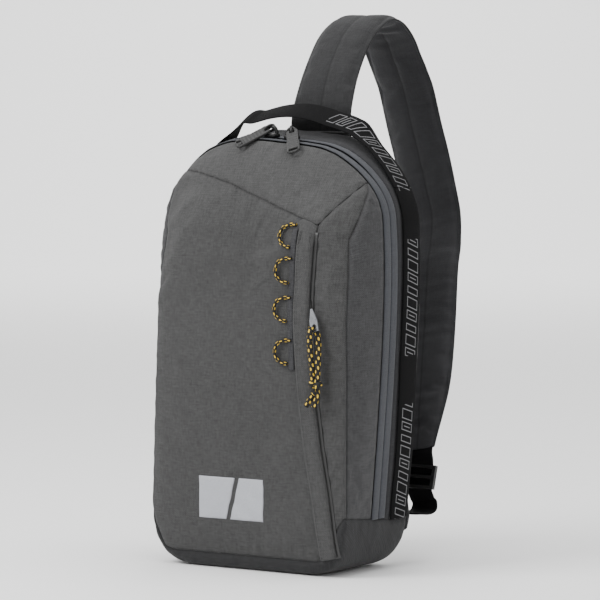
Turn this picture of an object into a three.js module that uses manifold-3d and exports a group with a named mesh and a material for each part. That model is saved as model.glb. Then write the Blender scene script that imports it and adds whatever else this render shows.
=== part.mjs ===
// Sling bag with one padded shoulder strap.
// Millimetres. X is to the right seen from the front, Y goes to the back, Z is up.
// The origin is on the floor under the middle of the base.
import * as THREE from 'three';
import { mergeVertices } from 'three/addons/utils/BufferGeometryUtils.js';
import Module from 'manifold-3d';

const wasm = await Module();
wasm.setup();

// Driving dimensions
const GAP = 0.3;                 // between pieces that touch
const WALL = 3;                  // fabric, foam and lining together
const TOP_HEIGHT = 385;          // top of the main zip's front seam
const CROWN_HALF = 10;           // half of the flat stretch at the top of the arch
const ARCH_RADIUS = 136;
const ARCH_SWEEP = 41.4;         // degrees of the arch before the shoulder starts
const SHOULDER_RADIUS = 48.7;
const SIDE_LOW = [104, 46];      // where the side meets the bottom corner
const FLAT_HALF = 58;            // half width of the flat bottom
const SPINE_LOW = 110;           // the outline is drawn in towards a line on X = 0
const SPINE_HIGH = 249;
const FRONT_HALF_WIDTH = 103.3;  // the front face, at its side seams
// The side wall ends at an arris, which falls back as the outline climbs: [angle of climb, Y].
const ARRIS_DEPTH = [[-10, -50.5], [0, -48.5], [15, -44], [25, -38.5], [33, -32], [40, -22], [46, -15], [55, -12]];
// From the arris the skin slopes on to the front face: [angle of climb, distance in from the zip].
const SLOPE_RUN = [[-10, 0], [0, 20], [15, 32], [25, 40], [33, 46], [45, 54], [60, 74], [75, 82], [90, 85]];
// The soft body leans: how far its left side moves along X at a height, [Z, distance].
const LEFT_LEAN = [[0, -6], [60, -5.5], [120, -4], [220, 0], [260, 1.5], [330, 3], [375, 0], [400, 0]];
const LEAN_REACH = 100;
// Its shoulders also stand a little higher than the arch, the left one more: [X, distance].
const TOP_RISE = [[-125, 7], [-97, 8], [-75, 9], [-63, 8], [-52, 7], [-39, 5], [-26, 3.8], [-12, 2.8], [5, 1.4],
  [22, 0.4], [36, 1], [50, 2.4], [66, 3], [90, 2], [115, 0]];
const FRONT_Y = -54.4;
const BACK_Y = 56.4;
const PANEL_CROWN = 2.2;         // how far the front face bulges in its middle
const ZIP_FRONT_Y = -10;
const ZIP_REAR_Y = 11;
const ZIP_MIDDLE_Y = 0.5;
const GUSSET_REAR_Y = 51.5;
const SEAM_LOW = 13.7;           // base seam on the front and back faces
const SEAM_HIGH = 49.7;          // base seam on the sides, at the zip
const SEAM_TILT = 0.1;           // it falls towards the back by this slope
const SEAM_TURN = [75, 102];     // the seam turns up between these widths
const WEBBING_WIDTH = 30;
const WEBBING_THICKNESS = 1.8;
const PLACKET_WIDTH = 16.5;
const CORD_DIAMETER = 4;
const LOOP_CORD_DIAMETER = 2.5;
const FAR = 160;                 // beyond every side of the bag

const bag = new THREE.Group();

function finish(color, roughness, metalness) {
  return new THREE.MeshStandardMaterial({ color, roughness, metalness });
}

const FABRIC = finish(0x5a5a5c, 0.9, 0);
const LOWER_FABRIC = finish(0x504f51, 0.9, 0);
const TAPE = finish(0x4b4e55, 0.85, 0);
const COIL = finish(0x33353a, 0.5, 0);
const WEBBING = finish(0x242425, 0.85, 0);
const LINING = finish(0x2b2b2d, 0.9, 0);
const FOAM = finish(0x3a3a3c, 1, 0);
const CORD = finish(0x2a2620, 0.8, 0);
const MOULDED = finish(0x3c3c3e, 0.6, 0);
const BLACK_METAL = finish(0x18181a, 0.4, 0.7);
const BRIGHT_METAL = finish(0x9a9ca0, 0.35, 0.9);
const PLASTIC = finish(0x141415, 0.5, 0);
const REFLECTIVE = finish(0xbfc0c6, 0.5, 0.2);

// Moves what lies left of the middle outwards near the bottom and inwards at the shoulder, and lifts the shoulders.
function lean(geometry) {
  const position = geometry.attributes.position;
  for (let i = 0; i < position.count; i++) {
    const x = position.getX(i);
    const z = position.getZ(i);
    const share = Math.min(1, Math.max(0, -x / LEAN_REACH));
    const atTop = smooth(300, 365, z) * (1 - smooth(390, 415, z));
    position.setX(i, x + share * readCurve(LEFT_LEAN, z));
    position.setZ(i, z + atTop * readCurve(TOP_RISE, x));
  }
}

function addPart(name, geometry, material) {
  lean(geometry);
  const mesh = new THREE.Mesh(geometry, material);
  mesh.name = name;
  bag.add(mesh);
}

// ---- Small numeric helpers ----

function mix(a, b, t) {
  return a + (b - a) * t;
}

function smooth(low, high, value) {
  const t = Math.min(1, Math.max(0, (value - low) / (high - low)));
  return t * t * (3 - 2 * t);
}

// Reads y at x from a list of [x, y] that rises in x.
function readCurve(points, x) {
  if (x <= points[0][0]) return points[0][1];
  for (let i = 1; i < points.length; i++) {
    const [x1, y1] = points[i];
    const [x0, y0] = points[i - 1];
    if (x <= x1) return mix(y0, y1, (x - x0) / (x1 - x0));
  }
  return points[points.length - 1][1];
}

// ---- Solids ----

function toSolid(geometry) {
  const bare = geometry.clone();
  bare.deleteAttribute('normal');
  bare.deleteAttribute('uv');
  const merged = mergeVertices(bare, 1e-4);
  const vertProperties = new Float32Array(merged.attributes.position.array);
  const triVerts = new Uint32Array(merged.index.array);
  return new wasm.Manifold(new wasm.Mesh({ numProp: 3, vertProperties, triVerts }));
}

function toGeometry(solid) {
  const mesh = solid.getMesh();
  const geometry = new THREE.BufferGeometry();
  geometry.setAttribute('position', new THREE.BufferAttribute(mesh.vertProperties, 3));
  geometry.setIndex(new THREE.BufferAttribute(mesh.triVerts, 1));
  return geometry;
}

// Builds a closed mesh from points and polygons, with its faces pointing out.
function closedMesh(points, polygons) {
  const keys = new Map();
  const unique = [];
  const slot = points.map((p) => {
    const key = p.map((v) => Math.round(v * 1e3)).join(',');
    if (!keys.has(key)) {
      keys.set(key, unique.length);
      unique.push(p);
    }
    return keys.get(key);
  });
  const triangles = [];
  for (const polygon of polygons) {
    const corners = polygon.map((i) => slot[i]).filter((v, i, all) => v !== all[(i + 1) % all.length]);
    for (let i = 2; i < corners.length; i++) triangles.push([corners[0], corners[i - 1], corners[i]]);
  }
  let volume = 0;
  for (const [a, b, c] of triangles) {
    const [p, q, r] = [unique[a], unique[b], unique[c]].map((v) => new THREE.Vector3(...v));
    volume += p.dot(q.cross(r));
  }
  if (volume < 0) triangles.forEach((t) => t.reverse());
  const geometry = new THREE.BufferGeometry();
  geometry.setAttribute('position', new THREE.Float32BufferAttribute(unique.flat(), 3));
  geometry.setIndex(triangles.flat());
  return geometry;
}

// Joins equal sections, each a ring of points whose first half faces its second half.
function loft(sections) {
  const n = sections[0].length;
  const polygons = [];
  for (let s = 0; s + 1 < sections.length; s++) {
    for (let i = 0; i < n; i++) {
      const j = (i + 1) % n;
      const quad = [s * n + i, s * n + j, (s + 1) * n + j, (s + 1) * n + i];
      polygons.push(i < n / 2 ? quad : [quad[1], quad[2], quad[3], quad[0]]);
    }
  }
  const last = (sections.length - 1) * n;
  for (let i = 0; i < n / 2 - 1; i++) {
    const ring = [i, i + 1, n - 2 - i, n - 1 - i];
    polygons.push([...ring].reverse());
    polygons.push(ring.map((v) => v + last));
  }
  return closedMesh(sections.flat(), polygons);
}

// A prism whose outline is drawn in X and Z, between two values of Y.
function prismXZ(points, yFront, yBack) {
  const shape = new THREE.Shape(points.map(([x, z]) => new THREE.Vector2(x, z)));
  const geometry = new THREE.ExtrudeGeometry(shape, { depth: yBack - yFront, bevelEnabled: false });
  geometry.rotateX(Math.PI / 2);
  geometry.translate(0, yBack, 0);
  return geometry;
}

// Moves each point of a line in X and Z sideways by a distance.
function offsetLine(points, distance) {
  return points.map(([x, z], i) => {
    const [x0, z0] = points[Math.max(0, i - 1)];
    const [x1, z1] = points[Math.min(points.length - 1, i + 1)];
    const length = Math.hypot(x1 - x0, z1 - z0);
    return [x - ((z1 - z0) / length) * distance, z + ((x1 - x0) / length) * distance];
  });
}

// A thin wall that stands along a seam, used to leave the gap between two panels.
function seamWall(points) {
  const outline = [...offsetLine(points, GAP / 2), ...offsetLine(points, -GAP / 2).reverse()];
  return toSolid(prismXZ(outline, -FAR, ZIP_FRONT_Y + 5));
}

function tube(points, diameter, sides, steps) {
  const section = new THREE.Shape();
  for (let i = 0; i < sides; i++) {
    const a = (i / sides) * 2 * Math.PI;
    section[i ? 'lineTo' : 'moveTo'](Math.cos(a) * diameter / 2, Math.sin(a) * diameter / 2);
  }
  const path = new THREE.CatmullRomCurve3(points.map((p) => new THREE.Vector3(...p)));
  return new THREE.ExtrudeGeometry(section, { steps, extrudePath: path, curveSegments: 1 });
}

// ---- The body's outline and skin ----

// Right half of the outline at the zip's front seam, from the top middle to the bottom middle.
function outlineHalf(archSteps, shoulderSteps, sideSteps, cornerSteps) {
  const points = [[0, TOP_HEIGHT]];
  const archZ = TOP_HEIGHT - ARCH_RADIUS;
  for (let i = 0; i <= archSteps; i++) {
    const a = THREE.MathUtils.degToRad(ARCH_SWEEP * i / archSteps);
    points.push([CROWN_HALF + ARCH_RADIUS * Math.sin(a), archZ + ARCH_RADIUS * Math.cos(a)]);
  }
  const turn = THREE.MathUtils.degToRad(ARCH_SWEEP);
  const shoulderX = CROWN_HALF + (ARCH_RADIUS - SHOULDER_RADIUS) * Math.sin(turn);
  const shoulderZ = archZ + (ARCH_RADIUS - SHOULDER_RADIUS) * Math.cos(turn);
  for (let i = 1; i <= shoulderSteps; i++) {
    const a = mix(turn, Math.PI / 2, i / shoulderSteps);
    points.push([shoulderX + SHOULDER_RADIUS * Math.sin(a), shoulderZ + SHOULDER_RADIUS * Math.cos(a)]);
  }
  const [sideX, sideZ] = points[points.length - 1];
  const side = new THREE.CubicBezierCurve(
    new THREE.Vector2(sideX, sideZ), new THREE.Vector2(sideX + 5, 255),
    new THREE.Vector2(113, 150), new THREE.Vector2(...SIDE_LOW));
  for (let i = 1; i <= sideSteps; i++) points.push(side.getPoint(i / sideSteps).toArray());
  const corner = new THREE.CubicBezierCurve(
    new THREE.Vector2(...SIDE_LOW), new THREE.Vector2(101.4, 14),
    new THREE.Vector2(90, 0), new THREE.Vector2(FLAT_HALF, 0));
  for (let i = 1; i <= cornerSteps; i++) points.push(corner.getPoint(i / cornerSteps).toArray());
  points.push([0, 0]);
  return points;
}

function mirrored(points) {
  return points.map(([x, z]) => [-x, z]);
}

const HALF = outlineHalf(5, 5, 6, 5);
const OUTLINE = [...HALF, ...mirrored(HALF.slice(1, -1)).reverse()];
const FINE_SIDE = outlineHalf(20, 20, 60, 30).slice(1).reverse().map(([x, z]) => [z, x]);

// How far the outline's point lies from the spine, and the way to it.
function towardsSpine([x, z]) {
  const spineZ = Math.min(SPINE_HIGH, Math.max(SPINE_LOW, z));
  const length = Math.hypot(x, spineZ - z);
  return { length, dx: -x / length, dz: (spineZ - z) / length };
}

function climbAngle([x, z]) {
  return THREE.MathUtils.radToDeg(Math.atan2(z - SPINE_HIGH, Math.abs(x)));
}

// 1 on the arch, 0 on the sides.
function topShare(point) {
  return smooth(35, 60, climbAngle(point));
}

// 1 on the flat bottom, 0 on the sides.
function bottomShare([, z]) {
  return 1 - smooth(3, 46, z);
}

function blendProfiles(point, side, top, bottom) {
  const t = topShare(point);
  const b = bottomShare(point);
  return side.map((s, i) => s.map((v, k) => mix(mix(v, top[i][k], t), bottom[i][k], b)));
}

// Steps from the zip's front seam to the front face, each [inset, Y].
function frontProfile(point) {
  const angle = climbAngle(point);
  const sideRun = Math.max(1.2, Math.abs(point[0]) - FRONT_HALF_WIDTH);
  const depth = readCurve(ARRIS_DEPTH, angle);
  const arris = Math.max(1, sideRun * (ZIP_FRONT_Y - depth) / 40.5);
  const run = Math.max(arris + 4, readCurve(SLOPE_RUN, angle));
  const wall = [0, 0.35, 0.75, 1].map((f) => [f * arris, mix(ZIP_FRONT_Y, depth, f)]);
  const slope = [[0.33, 0.42], [0.7, 0.8]].map(([f, g]) => [mix(arris, run, f), mix(depth, -54, g)]);
  const side = [...wall, ...slope, [run, -53.6], [run + 10, FRONT_Y]];
  const bottom = [[0, -10], [0, -24], [0, -37], [0.4, -45], [1.8, -49.5], [4.8, -52.4], [10, -54], [22, FRONT_Y]];
  return blendProfiles(point, side, side, bottom);
}

// Steps from the zip's front seam to the back face.
function rearProfile(point) {
  const side = [[0, -10], [0, 11], [0, 17], [0, 34], [0.3, 50], [3.2, 54.6], [10, 56], [24, BACK_Y]];
  const top = [[0, -10], [-3.5, 11], [-4.6, 17], [-7.8, 34], [-8.3, 50], [-5, 54.6], [2, 56], [18, BACK_Y]];
  const bottom = [[0, -10], [0, 11], [0, 17], [0, 34], [1.6, 46], [6, 52], [13, 55.2], [26, BACK_Y]];
  return blendProfiles(point, side, top, bottom);
}

// The body as one closed solid, moved inwards by a distance.
function bodySolid(inward) {
  const squeeze = 1 - inward / -FRONT_Y;
  const rings = OUTLINE.map((point) => {
    const { length, dx, dz } = towardsSpine(point);
    const front = frontProfile(point).map(([inset, y]) => [inset + inward, y]);
    const rear = rearProfile(point).slice(1).map(([inset, y]) => [inset + inward, y]);
    const frontEdge = front[front.length - 1][0];
    const rearEdge = rear[rear.length - 1][0];
    for (const f of [0.4, 0.75, 1]) {
      front.push([mix(frontEdge, length, f), FRONT_Y - PANEL_CROWN * f * (2 - f)]);
      rear.push([mix(rearEdge, length, f), BACK_Y]);
    }
    return [...front.reverse(), ...rear].map(([inset, y]) =>
      [point[0] + dx * inset, y * squeeze, point[1] + dz * inset]);
  });
  const n = rings[0].length;
  const polygons = [];
  rings.forEach((ring, r) => {
    const next = (r + 1) % rings.length;
    for (let i = 0; i + 1 < n; i++) {
      polygons.push([r * n + i, r * n + i + 1, next * n + i + 1, next * n + i]);
    }
  });
  return toSolid(closedMesh(rings.flat(), polygons));
}

// Height of the base seam on the sides, at a depth Y.
function sideSeamHeight(y) {
  return SEAM_HIGH - SEAM_TILT * (y - ZIP_FRONT_Y);
}

// Everything below the base seam, raised or lowered by a distance.
function belowSeam(raise) {
  const edge = [[SEAM_TURN[0], SEAM_LOW], [89, 32], [SEAM_TURN[1], SEAM_HIGH], [FAR, SEAM_HIGH]];
  const left = [[-FAR, SEAM_HIGH], [-103.5, SEAM_HIGH], [-98, 32], [-88, SEAM_LOW]];
  const top = [...left, ...edge].map(([x, z]) => [x, z + raise]);
  const geometry = prismXZ([[-FAR, -20], ...top, [FAR, -20]], -FAR, FAR);
  const position = geometry.attributes.position;
  for (let i = 0; i < position.count; i++) {
    const side = smooth(SEAM_TURN[0], SEAM_TURN[1], Math.abs(position.getX(i)));
    const fall = side * SEAM_TILT * (position.getY(i) - ZIP_FRONT_Y);
    position.setZ(i, position.getZ(i) - fall);
  }
  return toSolid(geometry);
}

// ---- Panels cut from the shell ----

const V_SEAM = [[-125, 359.3], [-92, 351.8], [-34, 345.4], [13.5, 332.5], [72, 312.7], [97.5, 345.8], [125, 384]];
const PLACKET_MIDDLE = [[27, 85.9], [71, 79.5], [132, 68.9], [203, 61.5], [247, 60.4], [313, 64]];

function placketLine(side) {
  return [[0, 90], ...PLACKET_MIDDLE, [332, 65]].map(([z, x]) => [x + side * PLACKET_WIDTH / 2, z]);
}

const shell = bodySolid(0).subtract(bodySolid(WALL));
const aboveBase = belowSeam(GAP / 2);
const frontLimit = toSolid(prismXZ([[-FAR, -20], [FAR, -20], [FAR, 420], [-FAR, 420]],
  -FAR, ZIP_FRONT_Y - GAP / 2));
const rearLimit = toSolid(prismXZ([[-FAR, -20], [FAR, -20], [FAR, 420], [-FAR, 420]],
  GUSSET_REAR_Y + GAP / 2, FAR));

// The front and side faces meet on this line, which climbs back to the zip at the shoulder.
const ARRIS = [[20, 103.6, -54], [150, 103.6, -53], [249, 104, -49], [283, 105.5, -44], [303, 106, -38.5],
  [325, 105.6, -32], [340, 101, -20], [349, 98.5, -11], [360, 110, -8]];

// The side gusset's half of the front shell: all that lies outside the arris.
function gussetCutter(side, shift) {
  const reach = 20;
  const sections = ARRIS.map(([z, x, y]) => {
    const backY = Math.max(ZIP_FRONT_Y + 4, y + reach + 1);
    const ring = [[x + 12, y - 12], [x - reach, y + reach], [x - reach, backY], [FAR, backY]];
    return ring.map(([px, py], i) => [side * (px + (i < 3 ? shift : 0)), py, z]);
  });
  return toSolid(loft(sections));
}

const frontShell = shell.intersect(frontLimit).subtract(aboveBase);
const vWall = seamWall(V_SEAM);
const placketLeftWall = seamWall(placketLine(-1));
const placketRightWall = seamWall(placketLine(1));
const belowV = [...V_SEAM].reverse();

function panelBelowV(line, lineSide) {
  const box = lineSide < 0 ? [[-FAR, 0], ...line, [line.at(-1)[0], 420], [-FAR, 420]]
    : [[FAR, 420], [line.at(-1)[0], 420], ...[...line].reverse(), [FAR, 0]];
  const under = [[-FAR, 366], [-FAR, -20], [FAR, -20], [FAR, 384], ...belowV];
  return frontShell.intersect(toSolid(prismXZ(box, -FAR, ZIP_FRONT_Y + 5)))
    .intersect(toSolid(prismXZ(under, -FAR, ZIP_FRONT_Y + 5))).subtract(vWall);
}

function addFrontPanels() {
  const above = [[FAR, 430], [-FAR, 430], [-FAR, 359.3], ...V_SEAM, [FAR, 384]];
  const yoke = frontShell.intersect(toSolid(prismXZ(above, -FAR, ZIP_FRONT_Y + 5))).subtract(vWall);
  const main = panelBelowV(placketLine(-1), -1).subtract(placketLeftWall);
  const pocket = panelBelowV(placketLine(1), 1).subtract(placketRightWall);
  const strip = panelBelowV(placketLine(1), -1).subtract(placketRightWall)
    .intersect(panelBelowV(placketLine(-1), 1)).subtract(placketLeftWall);
  const right = gussetCutter(1, 0);
  const left = gussetCutter(-1, 0);
  const rightKeepOut = gussetCutter(1, -GAP);
  const leftKeepOut = gussetCutter(-1, -GAP);
  addPart('yoke_panel', toGeometry(yoke.subtract(rightKeepOut).subtract(leftKeepOut)), FABRIC);
  addPart('front_main_panel', toGeometry(main.subtract(leftKeepOut)), LOWER_FABRIC);
  addPart('pocket_front_panel', toGeometry(pocket.subtract(rightKeepOut)), LOWER_FABRIC);
  addPart('pocket_zip_tape', toGeometry(strip), TAPE);
  addPart('side_gusset_right', toGeometry(pocket.intersect(right)), LOWER_FABRIC);
  addPart('side_gusset_left', toGeometry(main.intersect(left)), LOWER_FABRIC);
}

function addBaseAndBack() {
  addPart('base_panel', toGeometry(shell.intersect(belowSeam(-GAP / 2))), LOWER_FABRIC);
  addPart('back_panel', toGeometry(shell.intersect(rearLimit).subtract(aboveBase)), LOWER_FABRIC);
}

// ---- Bands that follow the arch ----

// Inset of the skin at a depth Y behind the zip's front seam.
function rearInset(point, y) {
  return readCurve(rearProfile(point).map(([inset, depth]) => [depth, inset]), y);
}

function sideWidth(z) {
  return readCurve(FINE_SIDE, z);
}

// One section of a band: outer points from front to back, then inner ones back again.
function bandSection(point, depths, lift, thickness) {
  const { dx, dz } = towardsSpine(point);
  const at = (y, extra) => {
    const inset = rearInset(point, y) - lift + extra;
    return [point[0] + dx * inset, y, point[1] + dz * inset];
  };
  return [...depths.map((y) => at(y, 0)), ...[...depths].reverse().map((y) => at(y, thickness))];
}

// The section that starts a band on the base seam, which is not level.
function seamSection(side, depths, lift, thickness) {
  const at = (y, extra) => {
    const z = sideSeamHeight(y) + GAP;
    return [side * (sideWidth(z) + lift - extra), y, z];
  };
  return [...depths.map((y) => at(y, 0)), ...[...depths].reverse().map((y) => at(y, thickness))];
}

const ABOVE_SEAM = HALF.filter(([, z]) => z > 60 && z <= TOP_HEIGHT);

function archBand(depths, lift, thickness) {
  const right = [...ABOVE_SEAM].reverse();
  const left = mirrored(ABOVE_SEAM.slice(1));
  const sections = [...right, ...left].map((point) => bandSection(point, depths, lift, thickness));
  return loft([seamSection(1, depths, lift, thickness), ...sections,
    seamSection(-1, depths, lift, thickness)]);
}

function addArchBands() {
  const tapeEdge = GAP / 2;
  addPart('rear_gusset', archBand([ZIP_REAR_Y + tapeEdge, 17, 34, 50, GUSSET_REAR_Y - tapeEdge], 0, WALL), FABRIC);
  addPart('zip_tape_front', archBand([ZIP_FRONT_Y + tapeEdge, ZIP_MIDDLE_Y - tapeEdge], -0.5, 1.2), TAPE);
  addPart('zip_tape_rear', archBand([ZIP_MIDDLE_Y + tapeEdge, ZIP_REAR_Y - tapeEdge], -0.5, 1.2), TAPE);
  addPart('zip_coil_front', archBand([ZIP_MIDDLE_Y - 2.2, ZIP_MIDDLE_Y - tapeEdge], -2, 1.8), COIL);
  addPart('zip_coil_rear', archBand([ZIP_MIDDLE_Y + tapeEdge, ZIP_MIDDLE_Y + 2.2], -2, 1.8), COIL);
}

// ---- Side webbing and carry handle ----

const WEBBING_DEPTHS = [50 - WEBBING_WIDTH, 34, 50];
const STUB_END = [75, 382.5];

function addSideWebbing(side, name) {
  const lift = GAP + WEBBING_THICKNESS;
  const climb = ABOVE_SEAM.filter(([x, z]) => z < 300 || x > 84).reverse();
  const sections = climb.map((point) => bandSection([side * point[0], point[1]], WEBBING_DEPTHS, lift,
    WEBBING_THICKNESS));
  const [endX, endZ] = STUB_END;
  const end = (extra) => WEBBING_DEPTHS.map((y) => [side * (endX - extra * 0.5), y, endZ - extra]);
  const stub = [...end(0), ...end(WEBBING_THICKNESS).reverse()];
  addPart(name, loft([seamSection(side, WEBBING_DEPTHS, lift, WEBBING_THICKNESS), ...sections, stub]), WEBBING);
}

// The handle's centre line, from its right end to its left end.
const HANDLE_LINE = [[73.2, 382.5], [66, 391], [53, 400.5], [35, 409.5], [14, 415.5], [-6, 417.5],
  [-26, 415.5], [-46, 408.5], [-63, 397.5], [-73.2, 382.5]];

function addHandle() {
  const upper = offsetLine(HANDLE_LINE, -WEBBING_THICKNESS / 2);
  const lower = offsetLine(HANDLE_LINE, WEBBING_THICKNESS / 2);
  const [front, , back] = WEBBING_DEPTHS;
  const sections = upper.map(([x, z], i) => {
    const [lx, lz] = lower[i];
    return [[x, front, z], [x, back, z], [lx, back, lz], [lx, front, lz]];
  });
  addPart('carry_handle', loft(sections), WEBBING);
}

// ---- Placket and daisy chain on the front face ----

// Depth of the front skin at a place on it.
function frontDepth(x, z) {
  const spineZ = Math.min(SPINE_HIGH, Math.max(SPINE_LOW, z));
  const angle = Math.atan2(z - spineZ, Math.abs(x));
  let edge = [sideWidth(z), z];
  if (z > SPINE_HIGH || z < SPINE_LOW) {
    let nearest = Infinity;
    for (const [pz, px] of FINE_SIDE) {
      const miss = Math.abs(Math.atan2(pz - spineZ, px) - angle);
      if (miss < nearest) {
        nearest = miss;
        edge = [px, pz];
      }
    }
  }
  const { length } = towardsSpine(edge);
  const inset = length - Math.hypot(x, z - spineZ);
  const profile = frontProfile(edge);
  const [edgeInset] = profile.at(-1);
  if (inset < edgeInset) return readCurve(profile, inset);
  const f = (inset - edgeInset) / (length - edgeInset);
  return FRONT_Y - PANEL_CROWN * f * (2 - f);
}

// A strip that lies on the front face, from a list of [x, z] along its middle.
function faceStrip(route, width, lift, thickness, steps) {
  const spline = new THREE.SplineCurve(route.map(([x, z]) => new THREE.Vector2(x, z)));
  const line = spline.getSpacedPoints(steps).map((p) => p.toArray());
  const sections = line.map(([x, z], i) => {
    const near = [offsetLine(line, width / 2)[i], offsetLine(line, -width / 2)[i]];
    const depth = Math.min(...near.map(([px, pz]) => frontDepth(px, pz)), frontDepth(x, z)) - lift;
    const [a, b] = near;
    return [[a[0], depth - thickness, a[1]], [b[0], depth - thickness, b[1]],
      [b[0], depth, b[1]], [a[0], depth, a[1]]];
  });
  return loft(sections);
}

const PLACKET_LIFT = 3.6;
const DAISY_TAPE_WIDTH = 5;
const LOOP_SPANS = [[314, 294], [284, 262], [249, 228], [211, 190]];
const LOOP_BULGE = 13.5;

function addPlacket() {
  const line = [[84, 37], ...PLACKET_MIDDLE.slice(1).map(([z, x]) => [x, z])];
  addPart('placket', faceStrip(line, PLACKET_WIDTH, PLACKET_LIFT, 1.6, 20), FABRIC);
}

function addDaisyChain() {
  const line = [[50.2, 184], [49.6, 203], [48.6, 247], [50.6, 290], [51.6, 318]];
  addPart('daisy_tape', faceStrip(line, DAISY_TAPE_WIDTH, 4 * GAP, 1.2, 14), WEBBING);
  LOOP_SPANS.forEach(([high, low], i) => {
    const middle = (high + low) / 2;
    const half = (high - low) / 2;
    const rootX = readCurve(line.map(([x, z]) => [z, x]), middle) - DAISY_TAPE_WIDTH / 2 - 4 * GAP;
    const points = [];
    for (let k = 0; k <= 8; k++) {
      const a = (k / 8) * Math.PI;
      const x = rootX - LOOP_BULGE * Math.sin(a) ** 0.8;
      const z = middle + half * Math.cos(a);
      points.push([x, frontDepth(x, z) - 3.4, z]);
    }
    addPart(`daisy_loop_${i + 1}`, tube(points, LOOP_CORD_DIAMETER, 8, 12), CORD);
  });
}

// ---- Reflective mark: two blocks with a slanted gap ----

function addMark() {
  const blocks = {
    mark_block_left: [[-51, 46], [-22, 46], [-12, 84], [-51, 84]],
    mark_block_right: [[-17.5, 46], [19, 46], [19, 84], [-7.5, 84]],
  };
  for (const [name, outline] of Object.entries(blocks)) {
    const depth = Math.min(...outline.map(([x, z]) => frontDepth(x, z)), frontDepth(-16, 84)) - 0.5;
    addPart(name, prismXZ(outline, depth - 0.4, depth), REFLECTIVE);
  }
}

// ---- Main zip sliders and pullers ----

const SLIDER_X = 11;
const SLIDER_BASE_Z = 388;
const BRIDGE_PIVOT_Z = SLIDER_BASE_Z + 8.6;

function sliderGeometry(side) {
  const plan = new THREE.Shape();
  plan.moveTo(-6.5, -4.5);
  plan.lineTo(4, -4.5);
  plan.quadraticCurveTo(7, -3, 7, 0);
  plan.quadraticCurveTo(7, 3, 4, 4.5);
  plan.lineTo(-6.5, 4.5);
  const body = new THREE.ExtrudeGeometry(plan, { depth: 2.4, bevelEnabled: false, curveSegments: 3 });
  const arch = new THREE.Shape();
  arch.moveTo(-6.2, 0);
  arch.lineTo(-6.2, 6);
  arch.quadraticCurveTo(-6, 8, -4, 8);
  arch.lineTo(4, 8);
  arch.quadraticCurveTo(6, 8, 6.2, 6);
  arch.lineTo(6.2, 0);
  arch.lineTo(5, 0);
  arch.lineTo(5, 5.8);
  arch.lineTo(4, 6.8);
  arch.lineTo(-4, 6.8);
  arch.lineTo(-5, 5.8);
  arch.lineTo(-5, 0);
  const bridge = new THREE.ExtrudeGeometry(arch, { depth: 1.6, bevelEnabled: false, curveSegments: 2 });
  bridge.rotateX(Math.PI / 2);
  bridge.translate(0, 0.8, 1.6);
  const geometry = toGeometry(toSolid(body).add(toSolid(bridge)));
  if (side < 0) geometry.rotateZ(Math.PI);
  geometry.translate(side * SLIDER_X, ZIP_MIDDLE_Y, SLIDER_BASE_Z);
  return geometry;
}

// A flat puller with a wire ring at its upper end, which the slider's bridge passes through.
function pullerGeometry(pivot, direction, length, width) {
  const along = new THREE.Vector3(...direction).normalize();
  const across = new THREE.Vector3(1, 0, 0).addScaledVector(along, -along.x).normalize();
  const normal = new THREE.Vector3().crossVectors(along, across);
  const plate = new THREE.Shape();
  const start = 4.4;
  const neck = 2;
  const half = width / 2;
  plate.moveTo(start, -neck);
  plate.lineTo(start + 5, -half);
  plate.lineTo(length - 3, -half);
  plate.quadraticCurveTo(length, -half, length, -half + 3);
  plate.lineTo(length, half - 3);
  plate.quadraticCurveTo(length, half, length - 3, half);
  plate.lineTo(start + 5, half);
  plate.lineTo(start, neck);
  const slot = new THREE.Path();
  slot.moveTo(length - 6, -half + 2.3);
  slot.lineTo(length - 6, half - 2.3);
  slot.lineTo(length - 2, half - 2.3);
  slot.lineTo(length - 2, -half + 2.3);
  plate.holes.push(slot);
  const flat = new THREE.ExtrudeGeometry(plate, { depth: 2.2, bevelEnabled: false, curveSegments: 3 });
  flat.translate(0, 0, -1.1);
  const ring = new THREE.TorusGeometry(3.7, 0.7, 6, 14);
  ring.rotateX(Math.PI / 2);
  ring.translate(0.5, 0, 0);
  const geometry = toGeometry(toSolid(flat).add(toSolid(ring)));
  const frame = new THREE.Matrix4().makeBasis(along, across, new THREE.Vector3().crossVectors(along, across));
  frame.setPosition(...pivot);
  geometry.applyMatrix4(frame);
  return { geometry, normal };
}

function addMainSliders() {
  const pulls = { right: [1, [17.5, -23.5, -19.5]], left: [-1, [-25, -22, -17]] };
  for (const [name, [side, direction]] of Object.entries(pulls)) {
    addPart(`main_slider_${name}`, sliderGeometry(side), BLACK_METAL);
    const pivot = [side * SLIDER_X, ZIP_MIDDLE_Y, BRIDGE_PIVOT_Z];
    addPart(`main_puller_${name}`, pullerGeometry(pivot, direction, 36.5, 12).geometry, MOULDED);
  }
}

// ---- Pocket slider, its puller and the doubled cord ----

const POCKET_SLIDER_Z = 243;
const PULL_TOP = [72.6, -60.4, 240];
const PULL_END = [78, -63.4, 223];
const KNOT = [80.2, -65.7, 171.5];

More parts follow.
